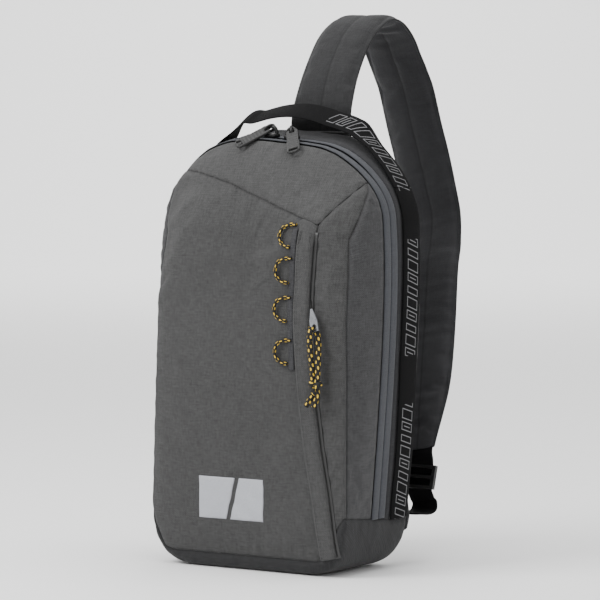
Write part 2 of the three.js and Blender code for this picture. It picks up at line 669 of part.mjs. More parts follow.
function addPocketPull() {
  const skin = frontDepth(66, POCKET_SLIDER_Z);
  const block = prismXZ([[61, 238], [70.8, 238], [70.8, 248], [61, 248]], skin - 3.1, skin - 0.4);
  addPart('pocket_slider', block, BLACK_METAL);

  const along = new THREE.Vector3(...PULL_END).sub(new THREE.Vector3(...PULL_TOP)).normalize();
  const across = new THREE.Vector3(1, 0, 0).addScaledVector(along, -along.x).normalize();
  const frame = new THREE.Matrix4().makeBasis(along, across, new THREE.Vector3().crossVectors(along, across));
  frame.setPosition(...PULL_TOP);
  const plate = new THREE.Shape();
  plate.moveTo(0, -1);
  plate.lineTo(11, -4);
  plate.lineTo(21, -4);
  plate.lineTo(21, 4);
  plate.lineTo(11, 4);
  plate.lineTo(0, 1);
  const hole = new THREE.Path();
  hole.absarc(16.5, 0, 2.4, 0, 2 * Math.PI, true);
  plate.holes.push(hole);
  const metal = new THREE.ExtrudeGeometry(plate, { depth: 1.2, bevelEnabled: false, curveSegments: 4 });
  metal.translate(0, 0, -0.6);
  metal.applyMatrix4(frame);
  addPart('pocket_puller', metal, BRIGHT_METAL);

  const strands = {
    pull_cord_left: [[76.8, -66.6, 224.5], [75.8, -67.6, 219], [75.4, -67.6, 212], [75.8, -66.8, 200],
      [77, -66, 188], [77.6, -65.7, 178.6]],
    pull_cord_right: [[77.4, -60.8, 221.2], [80, -61.6, 217], [81.8, -63, 210], [82.4, -64.2, 200],
      [82.4, -65.2, 188], [82.4, -65.7, 178.6]],
    cord_tail_left: [[78, -65.7, 164.4], [74.4, -65.8, 159.5], [70.4, -65.6, 154]],
    cord_tail_right: [[82.4, -65.7, 164.4], [80.8, -65.7, 159], [78.2, -65.4, 153.6]],
  };
  for (const [name, points] of Object.entries(strands)) {
    const steps = Math.max(4, 2 * (points.length - 1));
    addPart(name, tube(points, CORD_DIAMETER, 8, steps), CORD);
  }
  const knot = new THREE.SphereGeometry(1, 10, 8);
  knot.scale(5.6, 4.2, 6.4);
  knot.translate(...KNOT);
  addPart('cord_knot', knot, CORD);
}

// ---- Inside: back foam and pocket pouch ----

function addInside() {
  const foam = [[-86, 60], [86, 60], [98, 150], [102, 260], [92, 325], [60, 358], [-60, 358], [-92, 325],
    [-102, 260], [-98, 150]];
  addPart('back_foam', prismXZ(foam, BACK_Y - WALL - 5.4, BACK_Y - WALL - 0.6), FOAM);
  const pouch = [[10, 60], [88, 60], [92, 140], [92, 236], [82, 256], [10, 256]];
  addPart('pocket_pouch', prismXZ(pouch, -48.6, -46.6), LINING);
}

// ---- Shoulder strap ----

// Stations along the strap's middle: x, y, z, width, thickness.
const STRAP = [[4, 54.6, 398, 66, 3.2], [4.5, 57.4, 409, 65, 3.8], [5, 61.2, 421, 64, 5.4],
  [5, 70.5, 441, 62, 8.5], [5, 83, 461, 61, 9], [5.5, 96, 478, 61, 9], [7, 110, 490, 61, 9],
  [9, 126, 497, 61, 9], [11.5, 142, 493.5, 61, 9], [13.5, 157, 480, 61, 9], [15.5, 167, 462, 61, 9],
  [19, 174, 445, 61, 9], [22, 178.5, 430, 61, 9], [28, 183, 397, 61, 9], [34, 186, 370, 61, 9],
  [40, 187.5, 342, 61, 9], [46, 187, 314, 61, 8.5], [51, 179, 287, 61, 8.5], [56, 166, 263, 61, 9],
  [65, 147, 216, 61, 9], [73, 129, 175, 60, 9], [77.5, 119, 153, 56, 8.5], [81.5, 109, 132, 48, 7],
  [85.5, 99.5, 111, 38, 5], [87.3, 95.5, 101.5, 34, 3.8]];

// Splits the strap's thickness: -1 is the face that touches the wearer's side, 1 the outer face.
function strapLayer(from, to, trim) {
  const sections = STRAP.map(([x, y, z, width, thickness], i) => {
    const a = new THREE.Vector3(...STRAP[Math.max(0, i - 1)].slice(0, 3));
    const b = new THREE.Vector3(...STRAP[Math.min(STRAP.length - 1, i + 1)].slice(0, 3));
    const tangent = b.sub(a).normalize();
    const across = new THREE.Vector3(1, 0, 0).addScaledVector(tangent, -tangent.x).normalize();
    const normal = new THREE.Vector3().crossVectors(across, tangent);
    const middle = new THREE.Vector3(x, y, z);
    const corner = (u, v) => middle.clone().addScaledVector(across, u * (width / 2 - trim))
      .addScaledVector(normal, v).toArray();
    const low = from * thickness / 2 + (from > -1 ? GAP / 2 : 0);
    const high = to * thickness / 2 - (to < 1 ? GAP / 2 : 0);
    return [corner(-1, high), corner(1, high), corner(1, low), corner(-1, low)];
  });
  return loft(sections);
}

function addStrap() {
  addPart('strap_face', strapLayer(0.5, 1, 0), FABRIC);
  addPart('strap_foam', strapLayer(-0.5, 0.5, 3), FOAM);
  addPart('strap_lining', strapLayer(-1, -0.5, 0), LINING);
}

// A flat strap along a list of points, its width across X.
function flatStrap(points, width, thickness) {
  const sections = points.map((point, i) => {
    const a = new THREE.Vector3(...points[Math.max(0, i - 1)]);
    const b = new THREE.Vector3(...points[Math.min(points.length - 1, i + 1)]);
    const tangent = b.sub(a).normalize();
    const across = new THREE.Vector3(1, 0, 0).addScaledVector(tangent, -tangent.x).normalize();
    const normal = new THREE.Vector3().crossVectors(across, tangent);
    const middle = new THREE.Vector3(...point);
    const corner = (u, v) => middle.clone().addScaledVector(across, u * width / 2)
      .addScaledVector(normal, v * thickness / 2).toArray();
    return [corner(-1, -1), corner(1, -1), corner(1, 1), corner(-1, 1)];
  });
  return loft(sections);
}

const LOCK_CENTRE = [90.5, 89, 78];
const LOCK_TILT = 0.28;

function addStrapEnd() {
  const tongue = [[87.8, 94.4, 98.6], [88.5, 93.3, 95.6], [89.1, 92.6, 92.9]];
  addPart('strap_end_tongue', flatStrap(tongue, 30, 2.4), WEBBING);

  const lock = new THREE.Shape();
  lock.moveTo(-19, -11);
  lock.lineTo(19, -11);
  lock.lineTo(19, 11);
  lock.lineTo(-19, 11);
  for (const [low, high] of [[-8, -1.5], [1.5, 8]]) {
    const window = new THREE.Path();
    window.moveTo(-15.5, low);
    window.lineTo(-15.5, high);
    window.lineTo(15.5, high);
    window.lineTo(15.5, low);
    lock.holes.push(window);
  }
  const frame = new THREE.ExtrudeGeometry(lock, { depth: 4, bevelEnabled: false });
  frame.translate(0, 0, -2);
  frame.rotateX(Math.PI / 2 - LOCK_TILT);
  frame.translate(...LOCK_CENTRE);
  addPart('ladder_lock', frame, PLASTIC);

  const webbing = [[91.6, 89, 63.5], [92.6, 93.5, 58.5], [94, 95.6, 53], [95.4, 92, 47.5], [96.6, 82, 45.4],
    [97.2, 71, 46.4], [97.4, 60.6, 47.6]];
  addPart('adjuster_webbing', flatStrap(webbing, 27, 1.8), WEBBING);
}

function addAnchors() {
  const tab = [[84, 24], [99, 34], [101.5, 46], [99.5, 60], [84, 56]];
  addPart('corner_tab', prismXZ(tab, BACK_Y + 0.5, BACK_Y + 2.3), LOWER_FABRIC);
  const stub = [[4, 58.2, 352], [4, 58.2, 370], [4, 58.2, 384], [4, 57.2, 390], [4, 56, 394.6]];
  addPart('strap_root_patch', flatStrap(stub, 66, 2.2), FABRIC);
}

addBaseAndBack();
addFrontPanels();
addArchBands();
addSideWebbing(1, 'side_webbing_right');
addSideWebbing(-1, 'side_webbing_left');
addHandle();
addPlacket();
addDaisyChain();
addMark();
addMainSliders();
addPocketPull();
addInside();
addStrap();
addStrapEnd();
addAnchors();

export default bag;
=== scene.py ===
"""Looks of a one-strap sling bag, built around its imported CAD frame.

Shapes are worked out in millimetres, as the CAD part is, and become metres when a mesh is made.
"""
import math

import bmesh
import bpy
import numpy as np
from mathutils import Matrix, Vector, noise
from mathutils.bvhtree import BVHTree
from mathutils.kdtree import KDTree


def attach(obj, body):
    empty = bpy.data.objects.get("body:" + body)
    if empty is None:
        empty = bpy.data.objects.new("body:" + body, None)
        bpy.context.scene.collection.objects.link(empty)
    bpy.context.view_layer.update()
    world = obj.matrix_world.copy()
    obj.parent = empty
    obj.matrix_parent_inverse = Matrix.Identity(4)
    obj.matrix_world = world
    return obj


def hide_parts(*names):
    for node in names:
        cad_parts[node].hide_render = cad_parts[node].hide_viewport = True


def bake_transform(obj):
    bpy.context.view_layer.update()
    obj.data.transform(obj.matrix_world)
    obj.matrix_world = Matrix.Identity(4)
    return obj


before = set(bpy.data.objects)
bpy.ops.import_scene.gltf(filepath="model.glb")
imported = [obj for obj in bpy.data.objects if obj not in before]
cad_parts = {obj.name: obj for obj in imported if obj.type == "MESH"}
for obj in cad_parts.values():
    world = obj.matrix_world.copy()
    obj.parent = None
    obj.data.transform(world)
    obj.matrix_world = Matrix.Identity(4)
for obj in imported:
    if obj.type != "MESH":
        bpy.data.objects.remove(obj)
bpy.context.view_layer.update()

MM = 0.001

# ---- Driving dimensions, as in the CAD part (mm) ----

TOP_HEIGHT = 385
CROWN_HALF = 10
ARCH_RADIUS = 136
ARCH_SWEEP = math.radians(41.4)
SHOULDER_RADIUS = 48.7
SIDE_LOW = (104, 46)
FLAT_HALF = 58
SPINE_LOW = 110
SPINE_HIGH = 249
FRONT_HALF_WIDTH = 103.3
FRONT_Y = -54.4
BACK_Y = 56.4
PANEL_CROWN = 2.2
ZIP_FRONT_Y = -10
ZIP_MIDDLE_Y = 0.5
SEAM_TILT = 0.1
PLACKET_WIDTH = 16.5
POCKET_EDGE = 9.0        # the pocket panel starts this far right of the placket's middle

# The arris between the side wall and the slope: [angle of climb, Y], and how far in the slope runs.
ARRIS_DEPTH = ((-10, -50.5), (0, -48.5), (15, -44), (25, -38.5), (33, -32), (40, -22), (46, -15), (55, -12))
SLOPE_RUN = ((-10, 0), (0, 20), (15, 32), (25, 40), (33, 46), (45, 54), (60, 74), (75, 82), (90, 85))
# Height of the yoke's seam along X, and X of the placket's middle along Z.
V_SEAM = ((-125, 359.3), (-92, 351.8), (-34, 345.4), (13.5, 332.5), (72, 312.7), (97.5, 345.8), (125, 384))
PLACKET_MIDDLE = ((0, 90), (27, 85.9), (71, 79.5), (132, 68.9), (203, 61.5), (247, 60.4), (313, 64),
                  (332, 65))
BASE_SEAM = ((-130, 49.7), (-103.5, 49.7), (-98, 32), (-88, 13.7), (75, 13.7), (89, 32), (102, 49.7),
             (130, 49.7))
# The soft body leans: how far its left side moves along X at a height.
LEFT_LEAN = ((0, -6), (60, -5.5), (120, -4), (220, 0), (260, 1.5), (330, 3), (375, 0), (400, 0))
LEAN_REACH = 100
# Its shoulders stand a little higher than the arch, the left one more: distance up along X.
TOP_RISE = ((-125, 7), (-97, 8), (-75, 9), (-63, 8), (-52, 7), (-39, 5), (-26, 3.8), (-12, 2.8), (5, 1.4),
            (22, 0.4),
            (36, 1), (50, 2.4), (66, 3), (90, 2), (115, 0))
# The side gusset's front seam, as columns in from the zip at a height.
GUSSET_SEAM = ((0, 15), (180, 15.4), (222, 16), (271, 17), (301, 18.4), (312, 17), (326, 15.8), (338, 14.5),
               (345, 11), (350, 7))


# ---- Small helpers ----

def mix(a, b, t):
    return a + (b - a) * t


def smooth(low, high, value):
    t = np.clip((value - low) / (high - low), 0, 1)
    return t * t * (3 - 2 * t)


def read_curve(curve, value):
    return np.interp(value, [p[0] for p in curve], [p[1] for p in curve])


def bezier(p0, p1, p2, p3, steps):
    t = np.linspace(0, 1, steps + 1)[1:, None]
    p0, p1, p2, p3 = (np.array(p, float) for p in (p0, p1, p2, p3))
    return (1 - t) ** 3 * p0 + 3 * (1 - t) ** 2 * t * p1 + 3 * (1 - t) * t * t * p2 + t ** 3 * p3


def arc_lengths(points):
    steps = np.linalg.norm(np.diff(points, axis=0), axis=1)
    return np.concatenate([[0], np.cumsum(steps)])


def resample(points, count):
    """The same line with its points evenly spaced."""
    points = np.array(points, float)
    s = arc_lengths(points)
    t = np.linspace(0, s[-1], count)
    return np.stack([np.interp(t, s, points[:, k]) for k in range(points.shape[1])], 1)


def spline(points, count):
    """A Catmull-Rom curve through the points, evenly resampled."""
    p = np.array(points, float)
    p = np.vstack([2 * p[0] - p[1], p, 2 * p[-1] - p[-2]])
    t = np.linspace(0, 1, 17)[:-1, None]
    parts = []
    for i in range(len(p) - 3):
        a, b, c, d = p[i:i + 4]
        parts.append(0.5 * (2 * b + (c - a) * t + (2 * a - 5 * b + 4 * c - d) * t ** 2
                            + (3 * b - a - 3 * c + d) * t ** 3))
    return resample(np.vstack([*parts, p[-2:-1]]), count)


def unit(vectors):
    return vectors / np.maximum(np.linalg.norm(vectors, axis=-1, keepdims=True), 1e-9)


def noise_at(points, scale, seed=0.0):
    """Smooth noise from -1 to 1 at each point; scale is the size of a lump, one number or one per axis."""
    scaled = np.asarray(points, float) / np.asarray(scale, float) + seed
    return np.array([noise.noise(Vector(p)) for p in scaled.reshape(-1, 3)]).reshape(scaled.shape[:-1])


def make_object(name, verts, faces, weave=None, material=None):
    """A mesh object from points in mm. weave holds, for each point, its place along the cloth, in mm."""
    mesh = bpy.data.meshes.new(name)
    mesh.from_pydata((np.asarray(verts, float) * MM).tolist(), [], [list(f) for f in faces])
    if weave is not None:
        layer = mesh.attributes.new("weave", "FLOAT_VECTOR", "POINT")
        layer.data.foreach_set("vector", (np.asarray(weave, float) * MM).astype(np.float32).ravel())
    mesh.shade_smooth()
    obj = bpy.data.objects.new(name, mesh)
    bpy.context.scene.collection.objects.link(obj)
    if material is not None:
        mesh.materials.append(material)
    return obj


def grid_faces(rows, columns, wrap_rows=False, wrap_columns=False, start=0):
    faces = []
    for i in range(rows if wrap_rows else rows - 1):
        a, b = i * columns, ((i + 1) % rows) * columns
        for j in range(columns if wrap_columns else columns - 1):
            k = (j + 1) % columns
            faces.append((start + a + j, start + a + k, start + b + k, start + b + j))
    return faces


def apply_modifiers(obj):
    """Swaps an object's mesh for the one its modifiers give."""
    depsgraph = bpy.context.evaluated_depsgraph_get()
    mesh = bpy.data.meshes.new_from_object(obj.evaluated_get(depsgraph), depsgraph=depsgraph)
    obj.modifiers.clear()
    obj.data = mesh
    mesh.shade_smooth()
    return obj


def subdivide(obj, levels=1):
    modifier = obj.modifiers.new("subdivide", "SUBSURF")
    modifier.levels = modifier.render_levels = levels
    return apply_modifiers(obj)


def outward(obj):
    """Turns a closed mesh's faces outwards."""
    bm = bmesh.new()
    bm.from_mesh(obj.data)
    bmesh.ops.recalc_face_normals(bm, faces=bm.faces)
    bm.to_mesh(obj.data)
    bm.free()
    return obj


def place(obj, body, slot, *nodes):
    """Rides a finished piece on its body, in place of its CAD nodes."""
    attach(obj, body)
    if nodes:
        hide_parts(*nodes)
    return obj


# ---- Camera, floor and light ----

CAMERA_PLACE = Vector((1.8565, -2.7524, 0.460))
CAMERA_TARGET = Vector((0.0139, 0.0093, 0.242))
CAMERA_LENS = 219.4


def aim(obj, target):
    obj.rotation_euler = (target - obj.location).to_track_quat("-Z", "Y").to_euler()


def add_camera():
    data = bpy.data.cameras.new("camera")
    data.lens = CAMERA_LENS
    data.sensor_width = 36
    data.clip_end = 50
    camera = bpy.data.objects.new("camera", data)
    camera.location = CAMERA_PLACE
    aim(camera, CAMERA_TARGET)
    bpy.context.scene.collection.objects.link(camera)
    bpy.context.scene.camera = camera


KEY_POWER = 24
FRONT_POWER = 2
SIDE_POWER = 9
TOP_POWER = 60
WALL_POWER = 90
WALL_START = 4.6
WORLD_STRENGTH = 0.86


def add_light(name, place_at, target, size, power, colour=(1, 1, 1)):
    data = bpy.data.lights.new(name, "AREA")
    data.shape = "SQUARE"
    data.size = size
    data.energy = power
    data.color = colour
    light = bpy.data.objects.new(name, data)
    light.location = place_at
    aim(light, Vector(target))
    bpy.context.scene.collection.objects.link(light)


def add_lights():
    middle = (0, 0, 0.22)
    add_light("key", (-0.6, -1.05, 1.35), (0, 0, 0.33), 0.8, KEY_POWER)
    add_light("front", (0.9, -3.2, 0.9), middle, 2.2, FRONT_POWER)
    add_light("side", (2.8, 0.3, 1.2), middle, 2.0, SIDE_POWER)
    add_light("overhead", (0.1, 0.3, 2.8), middle, 2.4, TOP_POWER)
    add_light("wall", (-2.5, 3.7, 2.6), (-3.0, 4.5, 0.2), 2.4, WALL_POWER)
    world = bpy.data.worlds.new("studio")
    world.use_nodes = True
    world.node_tree.nodes["Background"].inputs["Color"].default_value = (1, 1, 1, 1)
    world.node_tree.nodes["Background"].inputs["Strength"].default_value = WORLD_STRENGTH
    bpy.context.scene.world = world


def add_floor():
    """A pale sweep: a floor that curves up behind the object into a wall."""
    profile = [(-9, 0), (WALL_START, 0)]
    profile += [(WALL_START + 1.2 * math.sin(a), 1.2 - 1.2 * math.cos(a))
                for a in np.linspace(0.1, math.pi / 2, 12)]
    profile += [(WALL_START + 1.2, 6)]
    turn = math.atan2(CAMERA_PLACE.x, -CAMERA_PLACE.y)
    back, side = Vector((-math.sin(turn), math.cos(turn), 0)), Vector((math.cos(turn), math.sin(turn), 0))
    verts = [(back * p + side * w + Vector((0, 0, z))) / MM for p, z in profile for w in (-9, 9)]
    floor = make_object("floor", [tuple(v) for v in verts], grid_faces(len(profile), 2))
    material = bpy.data.materials.new("floor_paper")
    material.use_nodes = True
    tree = material.node_tree
    shader = tree.nodes["Principled BSDF"]
    shader.inputs["Roughness"].default_value = 0.9
    shader.inputs["Specular IOR Level"].default_value = 0.1
    grain = tree.nodes.new("ShaderNodeTexNoise")
    grain.inputs["Scale"].default_value = 3
    ramp = tree.nodes.new("ShaderNodeValToRGB")
    ramp.color_ramp.elements[0].color = (0.91, 0.91, 0.91, 1)
    ramp.color_ramp.elements[1].color = (0.93, 0.93, 0.925, 1)
    tree.links.new(grain.outputs["Fac"], ramp.inputs["Fac"])
    tree.links.new(ramp.outputs["Color"], shader.inputs["Base Color"])
    floor.data.materials.append(material)


# ---- Materials ----

class Nodes:
    """A small writer of node trees. The cloth's own coordinates come from the weave attribute, in metres."""

    def __init__(self, name):
        self.material = bpy.data.materials.new(name)
        self.material.use_nodes = True
        self.tree = self.material.node_tree
        self.shader = self.tree.nodes["Principled BSDF"]

    def add(self, kind, **settings):
        node = self.tree.nodes.new("ShaderNode" + kind)
        for key, value in settings.items():
            setattr(node, key, value)
        return node

    def link(self, output, target):
        if isinstance(output, (int, float)):
            target.default_value = output
        elif isinstance(output, tuple):
            target.default_value = output
        else:
            self.tree.links.new(output, target)

    def math(self, operation, a, b=0.0, c=0.0):
        node = self.add("Math", operation=operation)
        for value, socket in zip((a, b, c), node.inputs):
            self.link(value, socket)
        return node.outputs[0]

    def weave(self):
        """Across, along and edge-distance sockets, in metres."""
        attribute = self.add("Attribute", attribute_name="weave")
        split = self.add("SeparateXYZ")
        self.tree.links.new(attribute.outputs["Vector"], split.inputs[0])
        return split.outputs["X"], split.outputs["Y"], split.outputs["Z"], attribute.outputs["Vector"]

    def noise(self, scale, vector=None, detail=3.0, roughness=0.55):
        node = self.add("TexNoise")
        node.inputs["Scale"].default_value = scale
        node.inputs["Detail"].default_value = detail
        node.inputs["Roughness"].default_value = roughness
        if vector is None:
            vector = self.add("TexCoord").outputs["Object"]
        self.tree.links.new(vector, node.inputs["Vector"])
        return node.outputs["Fac"]

    def stretch(self, vector, scale):
        node = self.add("Mapping")
        node.inputs["Scale"].default_value = scale
        self.tree.links.new(vector, node.inputs["Vector"])
        return node.outputs["Vector"]

    def ramp(self, fac, *stops):
        node = self.add("ValToRGB")
        elements = node.color_ramp.elements
        while len(elements) < len(stops):
            elements.new(0.5)
        for element, (position, colour) in zip(elements, stops):
            element.position = position
            element.color = (*colour, 1) if isinstance(colour, tuple) else (colour, colour, colour, 1)
        self.link(fac, node.inputs["Fac"])
        return node.outputs["Color"]

    def mix(self, fac, a, b, blend="MIX"):
        node = self.add("Mix", data_type="RGBA", blend_type=blend)
        self.link(fac, node.inputs["Factor"])
        for value, socket in ((a, node.inputs[6]), (b, node.inputs[7])):
            self.link((*value, 1) if isinstance(value, tuple) else value, socket)
        return node.outputs[2]

    def bump(self, height, distance, strength=1.0, below=None):
        node = self.add("Bump")
        node.inputs["Strength"].default_value = strength
        node.inputs["Distance"].default_value = distance
        self.link(height, node.inputs["Height"])
        if below is not None:
            self.tree.links.new(below, node.inputs["Normal"])
        return node.outputs["Normal"]

    def finish(self, colour, roughness, normal=None, **settings):
        self.link((*colour, 1) if isinstance(colour, tuple) else colour, self.shader.inputs["Base Color"])
        self.link(roughness, self.shader.inputs["Roughness"])
        if normal is not None:
            self.tree.links.new(normal, self.shader.inputs["Normal"])
        for key, value in settings.items():
            self.shader.inputs[key.replace("_", " ")].default_value = value
        return self.material


def srgb(r, g=None, b=None):
    """A linear colour from sRGB values of 0 to 255."""
    values = (r, r if g is None else g, r if b is None else b)
    return tuple(v / 255 / 12.92 if v < 11 else ((v / 255 + 0.055) / 1.055) ** 2.4 for v in values)


def woven_fabric(name, colour, yarn=0.0019, contrast=0.42, roughness=0.85, sheen=0.08, depth=0.00022):
    """Plain-weave polyester: yarns that pass over and under, uneven in tone, with painted shade that darkens
    the cloth near its seams and edges.
    """
    n = Nodes(name)
    across, along, edge, vector = n.weave()
    turn = 2 * math.pi / yarn
    wander = n.math("MULTIPLY", n.noise(240, vector, 1), 2.4)
    a = n.math("SINE", n.math("MULTIPLY_ADD", across, turn, wander))
    b = n.math("SINE", n.math("MULTIPLY_ADD", along, turn, wander))
    over = n.math("MULTIPLY_ADD", n.math("MULTIPLY", a, b), 0.5, 0.5)
    weft = n.noise(1.0, n.stretch(vector, (110, 900, 0)), 2)
    warp = n.noise(1.0, n.stretch(vector, (900, 110, 0)), 2)
    fleck = n.noise(620, vector, 2)
    broad = n.noise(9, None, 3)
    shade = n.math("MULTIPLY_ADD", n.math("SUBTRACT", over, 0.5), contrast * 0.55, 1.0)
    shade = n.math("MULTIPLY_ADD", n.math("SUBTRACT", weft, 0.5), contrast * 2.0, shade)
    shade = n.math("MULTIPLY_ADD", n.math("SUBTRACT", warp, 0.5), contrast * 1.8, shade)
    shade = n.math("MULTIPLY_ADD", n.math("SUBTRACT", fleck, 0.5), contrast * 1.6, shade)
    shade = n.math("MULTIPLY_ADD", n.math("SUBTRACT", broad, 0.5), 0.2, shade)
    # Painted shade: within about 2 mm of a seam or edge the cloth is darkened to 0.58, for the shadow in the
    # grooves.
    painted_seam_shade = n.math("MULTIPLY_ADD", n.math("SMOOTH_MIN", n.math("MULTIPLY", edge, 560), 1.0, 0.2), 0.42, 0.58)
    shade = n.math("MULTIPLY", shade, painted_seam_shade)
    tinted = n.mix(1.0, colour, shade, "MULTIPLY")
    height = n.math("ADD", n.math("ADD", weft, warp), over)
    normal = n.bump(height, depth, 0.9)
    normal = n.bump(n.noise(140, None, 3), 0.0005, 0.5, normal)
    rough = n.math("MULTIPLY_ADD", fleck, 0.12, roughness - 0.06)
    return n.finish(tinted, rough, normal, Sheen_Weight=sheen, Sheen_Roughness=0.5, Specular_IOR_Level=0.2)


PRINT_REPEAT = 0.149     # the print comes in runs with plain webbing between them (m)
PRINT_RUN = 0.105
PRINT_END = 0.41


def printed_webbing(name, colour, ink, printed=True):
    """Woven webbing with ribbed edges. The print is a row of plain outlined slanted blocks."""
    n = Nodes(name)
    across, along, side, vector = n.weave()
    rib = n.math("SINE", n.math("MULTIPLY", along, 2 * math.pi / 0.0016))
    yarn = n.math("SINE", n.math("MULTIPLY", across, 2 * math.pi / 0.0019))
    weave = n.math("MULTIPLY_ADD", n.math("MULTIPLY", rib, yarn), 0.5, 0.5)
    fleck = n.noise(1100, vector, 2)
    shade = n.math("MULTIPLY_ADD", n.math("SUBTRACT", weave, 0.5), 0.5, 1.0)
    shade = n.math("MULTIPLY_ADD", n.math("SUBTRACT", fleck, 0.5), 0.6, shade)
    base = n.mix(1.0, colour, shade, "MULTIPLY")
    if printed:
        pitch, slant, line_half = 0.0112, 0.3, 0.0005
        block_half_width, bar_half_width = 0.0086, 0.0046
        slid = n.math("MULTIPLY_ADD", across, slant, along)
        cell = n.math("FLOOR", n.math("DIVIDE", slid, pitch))
        place_in = n.math("SUBTRACT", n.math("SUBTRACT", slid, n.math("MULTIPLY", cell, pitch)), pitch / 2)
        kind = n.math("ABSOLUTE", n.math("MODULO", cell, 3.0))
        half = n.math("MULTIPLY_ADD", kind, 0.0007, 0.0033)
        du = n.math("SUBTRACT", n.math("ABSOLUTE", across), block_half_width)
        dv = n.math("SUBTRACT", n.math("ABSOLUTE", place_in), half)
        frame_gap = n.math("ABSOLUTE", n.math("ADD", n.math("MAXIMUM", du, dv), line_half))
        bar_gap = n.math("MAXIMUM", n.math("ABSOLUTE", place_in),
                         n.math("SUBTRACT", n.math("ABSOLUTE", across), bar_half_width))
        bar_gap = n.math("MULTIPLY_ADD", n.math("COMPARE", kind, 1.0, 0.4), -1.0, n.math("ADD", bar_gap, 1.0))
        nearest = n.math("MINIMUM", frame_gap, bar_gap)
        line = n.math("SUBTRACT", 1.0, n.math("DIVIDE", nearest, line_half))
        ink_here = n.math(
            "MULTIPLY", n.math("MINIMUM", n.math("MAXIMUM", n.math("MULTIPLY", line, 3.0), 0.0), 1.0),
            n.math("GREATER_THAN", side, 0.0002))
        place_in_run = n.math("MODULO", along, PRINT_REPEAT)
        ink_here = n.math("MULTIPLY", ink_here, n.math("LESS_THAN", place_in_run, PRINT_RUN))
        ink_here = n.math("MULTIPLY", ink_here, n.math("LESS_THAN", along, PRINT_END))
        worn = n.math("MULTIPLY", ink_here, n.math("MULTIPLY_ADD", fleck, 1.1, 0.35))
        base = n.mix(worn, base, ink)
    normal = n.bump(n.math("MULTIPLY_ADD", fleck, 0.4, weave), 0.0003, 0.8)
    rough = n.math("MULTIPLY_ADD", fleck, 0.15, 0.78)
    return n.finish(base, rough, normal, Specular_IOR_Level=0.12)


def braided_cord(name, pitch=0.0084):
    """Black braided cord with staggered yellow flecks: across is the turn round it, along its length."""
    n = Nodes(name)
    across, along = n.weave()[:2]
    phase = n.math("MULTIPLY", across, 2 * math.pi / MM)
    run = n.math("MULTIPLY", along, 2 * math.pi / pitch)
    fibre = n.noise(2600, None, 2)
    cells = n.math("MULTIPLY", n.math("SINE", n.math("MULTIPLY_ADD", phase, 0.6, run)),
                   n.math("COSINE", n.math("MULTIPLY", phase, 3.0)))
    ragged = n.math("MULTIPLY_ADD", n.math("SUBTRACT", fibre, 0.5), 0.5, cells)
    mask = n.math("MINIMUM", n.math("MAXIMUM", n.math("MULTIPLY_ADD", ragged, 7.0, -2.9), 0.0), 1.0)
    strand = n.math(
        "MULTIPLY", n.math("SINE", n.math("MULTIPLY_ADD", phase, 4.0, n.math("MULTIPLY", run, 3.0))),
        n.math("SINE", n.math("MULTIPLY_ADD", phase, -4.0, n.math("MULTIPLY", run, 3.0))))
    black = n.ramp(fibre, (0.3, srgb(12)), (0.75, srgb(40)))
    yellow = n.ramp(fibre, (0.25, srgb(204, 152, 14)), (0.75, srgb(255, 222, 84)))
    normal = n.bump(n.math("MULTIPLY_ADD", fibre, 0.4, strand), 0.0003, 0.9)
    rough = n.math("MULTIPLY_ADD", fibre, 0.2, 0.6)
    return n.finish(n.mix(mask, black, yellow), rough, normal, Specular_IOR_Level=0.3)


def moulded(name, low, high, roughness, scale=900, metallic=0.0, depth=0.00008):
    """Moulded plastic or plated metal: fine grain in the surface, small scuffs, uneven gloss."""
    n = Nodes(name)
    grain = n.noise(scale, None, 4)
    scuffs = n.noise(60, None, 6, 0.7)
    colour = n.ramp(n.math("MULTIPLY_ADD", scuffs, 0.6, n.math("MULTIPLY", grain, 0.4)), (0.3, low),
                    (0.75, high))
    rough = n.math("MULTIPLY_ADD", scuffs, 0.25, roughness - 0.12)
    return n.finish(colour, rough, n.bump(grain, depth, 0.7), Metallic=metallic)


def reflective_print(name):
    """A heat-pressed silver film: the weave shows through it, with tiny bright beads."""
    n = Nodes(name)
    across, along = n.weave()[:2]
    turn = 2 * math.pi / 0.0011
    over = n.math("MULTIPLY", n.math("SINE", n.math("MULTIPLY", across, turn)),
                  n.math("SINE", n.math("MULTIPLY", along, turn)))
    bead = n.noise(2400, None, 2)
    colour = n.ramp(bead, (0.3, srgb(152, 154, 160)), (0.7, srgb(184, 186, 192)))
    colour = n.mix(1.0, colour, n.math("MULTIPLY_ADD", over, 0.05, 0.97), "MULTIPLY")
    normal = n.bump(over, 0.0001, 0.6)
    return n.finish(colour, n.math("MULTIPLY_ADD", bead, 0.2, 0.42), normal, Specular_IOR_Level=0.5)


def foam_skin(name):
    n = Nodes(name)
    cells = n.noise(1400, None, 3)
    colour = n.ramp(cells, (0.3, srgb(34)), (0.7, srgb(62)))
    return n.finish(colour, n.math("MULTIPLY_ADD", cells, 0.1, 0.85), n.bump(cells, 0.0003, 0.8))


